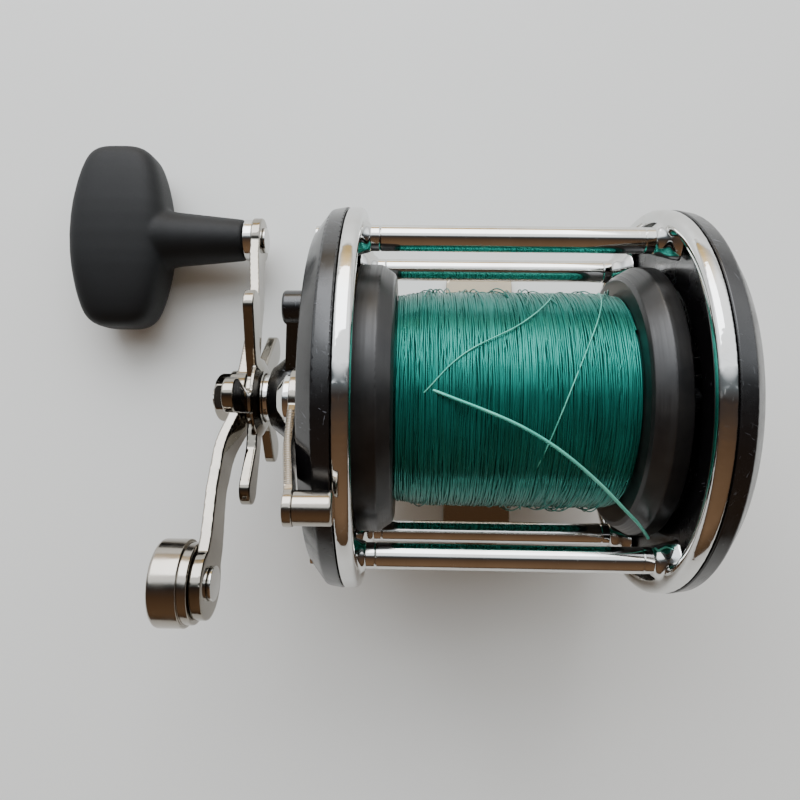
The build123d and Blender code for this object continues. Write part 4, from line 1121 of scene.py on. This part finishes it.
# The free end's route: offsets from the spool axis in millimetres
FREE_LINE_ROUTE = [
    (-17.6, 1.1, 26.0),
    (-14.1, -0.3, 27.5),
    (-7.9, -2.6, 28.4),
    (0.2, -5.9, 29.4),
    (8.4, -10.7, 29.6),
    (17.1, -17.7, 27.8),
    (23.3, -23.6, 24.9),
    (28.3, -27.8, 20.6),
    (31.2, -30.9, 16.4),
]


class REEL_OT_free_line(bpy.types.Operator):
    """Lay the free end of the line, which springs off the spool towards the tail ring"""
    bl_idname = "reel.free_line"
    bl_label = "Free end"

    def execute(self, context):
        diameter = context.scene.reel_sizes.free_line
        route = [(x * MM, SPOOL_AXIS.y + y * MM, SPOOL_AXIS.z + z * MM) for x, y, z in FREE_LINE_ROUTE]
        curve = swept_curve("free_line", route, diameter, material("loose_line"), 3, 12)
        settle(curve, "spool", "monofilament", "line_end")
        return {"FINISHED"}


class REEL_OT_lever(bpy.types.Operator):
    """Make the free-spool lever with its ribbed edge, domed cap and thumb roller"""
    bl_idname = "reel.lever"
    bl_label = "Free-spool lever"

    def execute(self, context):
        chrome = material("chrome")
        sizes = context.scene.reel_sizes
        lever = finished_copy("lever_plate", "freespool_lever", material("cast"), 0.16, 8)
        settle(lever, "lever", "chromed_brass", "freespool_lever")
        cap_low, cap_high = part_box("lever_cap")
        reach = (cap_high.x - cap_low.x) / MM
        radius = (cap_high.z - cap_low.z) / 2 / MM
        dome = rounded([(0, 0), (0, radius), (-reach * 0.45, radius), (-reach * 0.62, radius * 0.86),
                        (-reach, radius * 0.55), (-reach, 0)], [0, 0.15, 0.5, 0.6, 1.6, 0])
        outline = [(cap_high.x / MM + x, r) for x, r in dome]
        cap = lathe("lever_cap_domed", outline, centre("lever_cap"), chrome, 96)
        settle(cap, "lever", "chromed_brass", "lever_cap")
        low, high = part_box("thumb_roller")
        radius = (high.z - low.z) / 2 / MM
        left, right = low.x / MM, high.x / MM
        outline = rounded([(left, 0), (left, radius), (right, radius), (right, 0)], [0, 0.2, 0.6, 0])
        roller = lathe("thumb_roller_turned", outline, centre("thumb_roller"), material("cast"), 80)
        settle(roller, "lever", "chromed_brass", "thumb_roller")
        lever_ribs(sizes.ribs)
        return {"FINISHED"}


# The strip's outer face: distance from the spool's middle plane and from the pivot
LEVER_RUN = [(46.3, 7.0), (45.75, 15.0), (44.15, 25.6)]


def lever_ribs(count):
    """Fine ribs across the lever's upper edge, from its hub to the roller."""
    pivot = centre("freespool_cam")
    thumb = centre("thumb_roller")
    along = Vector((0, thumb.y - pivot.y, thumb.z - pivot.z)).normalized()
    side = Vector((0, -along.z, along.y))
    if side.z < 0:
        side.negate()
    tree = rib_tree()
    parts = []
    for (x_from, s_from), (x_to, s_to) in zip(LEVER_RUN, LEVER_RUN[1:]):
        share = round(count * (s_to - s_from) / (LEVER_RUN[-1][1] - LEVER_RUN[0][1]))
        ends = []
        for x, distance in ((x_from, s_from), (x_to, s_to)):
            # The strip's upper edge comes down a little on its way to the thumb roller
            rise = 3.93 - 0.0342 * distance
            place = Vector((0, pivot.y, pivot.z)) + (along * distance + side * rise) * MM
            place.x = -x * MM
            ends.append(place)
        values = {
            "Count": share,
            "Start": ends[0],
            "Step": (ends[1] - ends[0]) / share,
            "Rib width": 0.28 * MM,
            "Rib length": 1.5 * MM,
            "Turn": 0.0,
            "Finish": material("cast"),
        }
        parts.append(grown("ribs", tree, values, material("cast")))
    piece = joined(parts, "lever_ribs")
    settle(piece, "lever", "chromed_brass")


class REEL_OT_star(bpy.types.Operator):
    """Make the five-spoked star wheel and the bright collar beside it"""
    bl_idname = "reel.star"
    bl_label = "Star wheel"

    def execute(self, context):
        star = finished_copy("star_wheel_cast", "star_wheel", material("handled"), 0.24, 10)
        settle(star, "star", "chromed_brass", "star_wheel")
        collar = finished_copy("drag_collar", "drag_spacer", material("chrome"))
        settle(collar, "crank", "chromed_brass", "drag_spacer")
        return {"FINISHED"}


class REEL_OT_handle(bpy.types.Operator):
    """Make the handle arm with its nut, lock screw, counterweight, rivets and washer"""
    bl_idname = "reel.handle"
    bl_label = "Handle"

    def execute(self, context):
        pieces = [
            ("handle_arm", "handled", 0.26, 10),
            ("handle_nut", "handled", 0.15, 6),
            ("nut_lock_screw", "handled", 0.12, 4),
            ("counterweight", "cast", 0, 0),
            ("counterweight_rivet", "chrome", 0.15, 8),
            ("knob_spindle", "chrome", 0.2, 8),
            ("knob_washer", "chrome", 0.18, 6),
        ]
        for node, finish, skin, softening in pieces:
            piece = finished_copy(node + "_finished", node, material(finish), skin, softening)
            settle(piece, "crank", "chromed_brass", node)
        return {"FINISHED"}


class REEL_OT_knob(bpy.types.Operator):
    """Make the soft knob: a flattened barrel that flows into a tapered stem"""
    bl_idname = "reel.knob"
    bl_label = "Knob"

    def execute(self, context):
        rubber = material("grip")
        low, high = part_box("handle_knob")
        half_length = (high.y - low.y) / 2
        half_width = 15.2 * MM
        middle = Vector((low.x + half_width, (low.y + high.y) / 2, KNOB_AXIS.z))
        barrel = grip_barrel(middle, half_length, half_width, 0.72 * half_width, rubber)
        stem_end = high.x / MM
        side = stem_end - (high.x - middle.x) / MM + half_width / MM
        stem = rounded(
            [
                (stem_end, 0),
                (stem_end, 6.5),
                (side + 2.5, 8.6),
                (side - 2.0, 9.7),
                (side - 8.0, 9.7),
                (side - 8.0, 0),
            ],
            [0, 0.7, 8, 3, 0, 0],
        )
        shaft = lathe("knob_stem", stem, KNOB_AXIS, rubber, 96)
        piece = one_skin(joined([barrel, shaft], "knob_grip"), 0.5, 12)
        settle(piece, "knob", "grip_rubber", "handle_knob")
        return {"FINISHED"}


# The grip's outline: share of its half length, and share of its half width there
GRIP_SHAPE = [(0, 1.0), (0.2, 0.985), (0.35, 0.955), (0.5, 0.905), (0.6, 0.865), (0.7, 0.815), (0.8, 0.75),
              (0.87, 0.69), (0.92, 0.62), (0.96, 0.53), (0.985, 0.43), (1.0, 0.3)]


def grip_barrel(middle, half_length, half_width, half_height, finish):
    """The knob's cross bar: squarish sections that swell towards its middle."""
    square = 3.8
    stations = [(-along, wide) for along, wide in GRIP_SHAPE[:0:-1]] + GRIP_SHAPE
    bm = bmesh.new()
    rings = []
    for along, wide in stations:
        ring = []
        for step in range(96):
            angle = 2 * math.pi * step / 96
            x, z = math.cos(angle), math.sin(angle)
            reach = (abs(x) ** square + abs(z) ** square) ** (-1 / square)
            flat = wide ** 0.8
            ring.append(
                bm.verts.new(
                    (
                        middle.x + x * reach * wide * half_width,
                        middle.y + along * half_length,
                        middle.z + z * reach * flat * half_height,
                    ),
                ),
            )
        rings.append(ring)
    for near, far in zip(rings, rings[1:]):
        for step in range(96):
            after = (step + 1) % 96
            bm.faces.new((near[step], near[after], far[after], far[step]))
    bm.faces.new(rings[0])
    bm.faces.new(rings[-1])
    bmesh.ops.recalc_face_normals(bm, faces=bm.faces)
    mesh = bpy.data.meshes.new("grip_barrel")
    bm.to_mesh(mesh)
    bm.free()
    return link_mesh("grip_barrel", mesh, finish)


class REEL_OT_foot(bpy.types.Operator):
    """Make the cast foot and its screws"""
    bl_idname = "reel.foot"
    bl_label = "Foot"

    def execute(self, context):
        foot = finished_copy("reel_foot_cast", "reel_foot", material("aged"), 0.45, 5)
        settle(foot, "frame", "chromed_brass", "reel_foot")
        screws = finished_copy("foot_screws_slotted", "foot_screws", material("chrome"))
        settle(screws, "frame", "chromed_brass", "foot_screws")
        return {"FINISHED"}


class REEL_OT_tail_fittings(bpy.types.Operator):
    """Make the bearing cap and the click button of the tail plate"""
    bl_idname = "reel.tail_fittings"
    bl_label = "Tail fittings"

    def execute(self, context):
        cap = finished_copy("bearing_cap_moulded", "bearing_cap", material("plate"), 0.2, 5)
        settle(cap, "end_cap", "moulded_phenolic", "bearing_cap")
        button = finished_copy("click_button_moulded", "click_button", material("plate"), 0.15, 4)
        settle(button, "click", "moulded_phenolic", "click_button")
        return {"FINISHED"}


INNER_WORKS = {
    "brass": [
        "bridge_plate",
        "main_gear",
        "hump_bushing",
        "handle_side_bearing",
        "tail_side_bearing",
        "knob_sleeve",
        "pinion_yoke",
        "gear_sleeve",
    ],
    "steel": [
        "bridge_screws",
        "gear_stud",
        "yoke_guide_pins",
        "dog_pin",
        "anti_reverse_ratchet",
        "anti_reverse_dog",
        "steel_drag_washer",
        "drag_pressure_washer",
        "pinion_gear",
        "freespool_cam",
        "spool_shaft",
        "click_ratchet",
        "click_tongue",
        "click_spring",
    ],
    "fibre": ["fibre_drag_washer"],
}


class REEL_OT_inner_works(bpy.types.Operator):
    """Give the working parts inside their metals, and make the springs, which in the reel shorten as the yoke
    comes back; here they keep one length
    """
    bl_idname = "reel.inner_works"
    bl_label = "Inner works"

    def execute(self, context):
        for finish, nodes in INNER_WORKS.items():
            for node in nodes:
                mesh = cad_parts[node].data
                mesh.materials.clear()
                mesh.materials.append(material(finish))
        springs = finished_copy("yoke_springs_wound", "yoke_springs", material("steel"))
        settle(springs, "frame", "ground_steel", "yoke_springs")
        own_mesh(springs)
        return {"FINISHED"}


class REEL_OT_stage(bpy.types.Operator):
    """Set the table, the lights and the camera"""
    bl_idname = "reel.stage"
    bl_label = "Stage"

    def execute(self, context):
        stage = context.scene.reel_stage
        lens = bpy.data.cameras.new("camera")
        lens.lens = stage.lens
        lens.sensor_width = 36.0
        lens.clip_start = 0.01
        camera = bpy.data.objects.new("camera", lens)
        camera.location = stage.eye
        camera.rotation_euler = stage.tilt
        context.scene.collection.objects.link(camera)
        context.scene.camera = camera
        table = bpy.data.meshes.new("table")
        half = 1.5
        edge = [(-half, -half, 0), (half, -half, 0), (half, half, 0), (-half, half, 0)]
        table.from_pydata(edge, [], [(0, 1, 2, 3)])
        link_mesh("table", table, material("table"))
        area_light(context, "window", (-0.15, 0.75, 0.6), 0.9, 0.7, stage.key, linear("#F4F8FF"))
        area_light(context, "ceiling", (0.3, -0.1, 0.8), 0.6, 0.6, stage.fill, linear("#FFE0B8"), False)
        room_light(context, stage.sky)
        return {"FINISHED"}


def area_light(context, name, place, width, height, power, colour, mirrored=True):
    """A soft rectangular light that faces the reel. Polished metal shows it only where it is mirrored."""
    light = bpy.data.lights.new(name, "AREA")
    light.shape = "RECTANGLE"
    light.size = width
    light.size_y = height
    light.energy = power
    light.color = colour
    made = bpy.data.objects.new(name, light)
    made.visible_glossy = mirrored
    made.location = place
    aim = SPOOL_AXIS - Vector(place)
    made.rotation_euler = aim.to_track_quat("-Z", "Y").to_euler()
    context.scene.collection.objects.link(made)


def room_light(context, strength):
    """A room seen in the chrome: a broad white sky over the +Y side that warms at the horizon, shade straight
    overhead, and a dim brown room behind. Seen directly it is a plain pale wall."""
    world = bpy.data.worlds.new("room")
    context.scene.world = world
    world.use_nodes = True
    tree = world.node_tree
    tree.nodes.clear()
    way = add(tree, "ShaderNodeTexCoord").outputs["Generated"]
    split = add(tree, "ShaderNodeSeparateXYZ", {0: way})
    toward = add(tree, "ShaderNodeMapRange", {
        "Value": split.outputs[1], "From Min": -1.0, "From Max": 1.0, "To Min": 0.0, "To Max": 1.0,
    }).outputs["Result"]
    ramp = add(tree, "ShaderNodeValToRGB", {0: toward})
    ramp_stops(ramp, [(0.0, linear("#5A4634")), (0.3, linear("#463527")), (0.5, linear("#2B2624")),
                      (0.575, linear("#4E5356")), (0.64, linear("#EEF4FA")), (0.93, linear("#FFFFFF")),
                      (1.0, linear("#F2CF8E"))])
    low = add(tree, "ShaderNodeMapRange", {
        "Value": split.outputs[2], "From Min": 0.0, "From Max": 0.3, "To Min": 0.45, "To Max": 1.0,
    }).outputs["Result"]
    glow = add(tree, "ShaderNodeBackground", {
        "Color": ramp.outputs[0],
        "Strength": add(tree, "ShaderNodeMath", {0: low, 1: strength}, operation="MULTIPLY").outputs[0],
    })
    wall = add(tree, "ShaderNodeBackground", {"Color": rgba(linear("#D9DAD8")), "Strength": 1.0})
    seen = add(tree, "ShaderNodeLightPath").outputs["Is Camera Ray"]
    both = add(tree, "ShaderNodeMixShader", {0: seen, 1: glow.outputs[0], 2: wall.outputs[0]})
    add(tree, "ShaderNodeOutputWorld", {0: both.outputs[0]})


OPERATORS = [
    REEL_OT_stage,
    REEL_OT_free_line,
    REEL_OT_rings,
    REEL_OT_posts,
    REEL_OT_side_plates,
    REEL_OT_screws,
    REEL_OT_spool,
    REEL_OT_wound_line,
    REEL_OT_stray_line,
    REEL_OT_lever,
    REEL_OT_star,
    REEL_OT_handle,
    REEL_OT_knob,
    REEL_OT_foot,
    REEL_OT_tail_fittings,
    REEL_OT_inner_works,
]


class REEL_PT_panel(bpy.types.Panel):
    """Lists the reel's operators"""
    bl_label = "Fishing reel"
    bl_idname = "REEL_PT_panel"
    bl_space_type = "VIEW_3D"
    bl_region_type = "UI"
    bl_category = "Reel"

    def draw(self, context):
        for operator in OPERATORS:
            self.layout.operator(operator.bl_idname)
        for group in (context.scene.reel_sizes, context.scene.reel_looks, context.scene.reel_stage):
            box = self.layout.box()
            for name in group.bl_rna.properties.keys():
                if name not in ("rna_type", "name"):
                    box.prop(group, name)


CLASSES = [ReelLooks, ReelSizes, StageSettings] + OPERATORS + [REEL_PT_panel]


def register():
    for item in CLASSES:
        bpy.utils.register_class(item)
    bpy.types.Scene.reel_looks = bpy.props.PointerProperty(type=ReelLooks)
    bpy.types.Scene.reel_sizes = bpy.props.PointerProperty(type=ReelSizes)
    bpy.types.Scene.reel_stage = bpy.props.PointerProperty(type=StageSettings)


def unregister():
    del bpy.types.Scene.reel_stage
    del bpy.types.Scene.reel_sizes
    del bpy.types.Scene.reel_looks
    for item in reversed(CLASSES):
        bpy.utils.unregister_class(item)


def corners(bounds):
    return [[float(value) for value in corner] for corner in bounds]


def main():
    register()
    for operator in OPERATORS:
        group, name = operator.bl_idname.split(".")
        getattr(getattr(bpy.ops, group), name)()


if __name__ == "__main__":
    main()
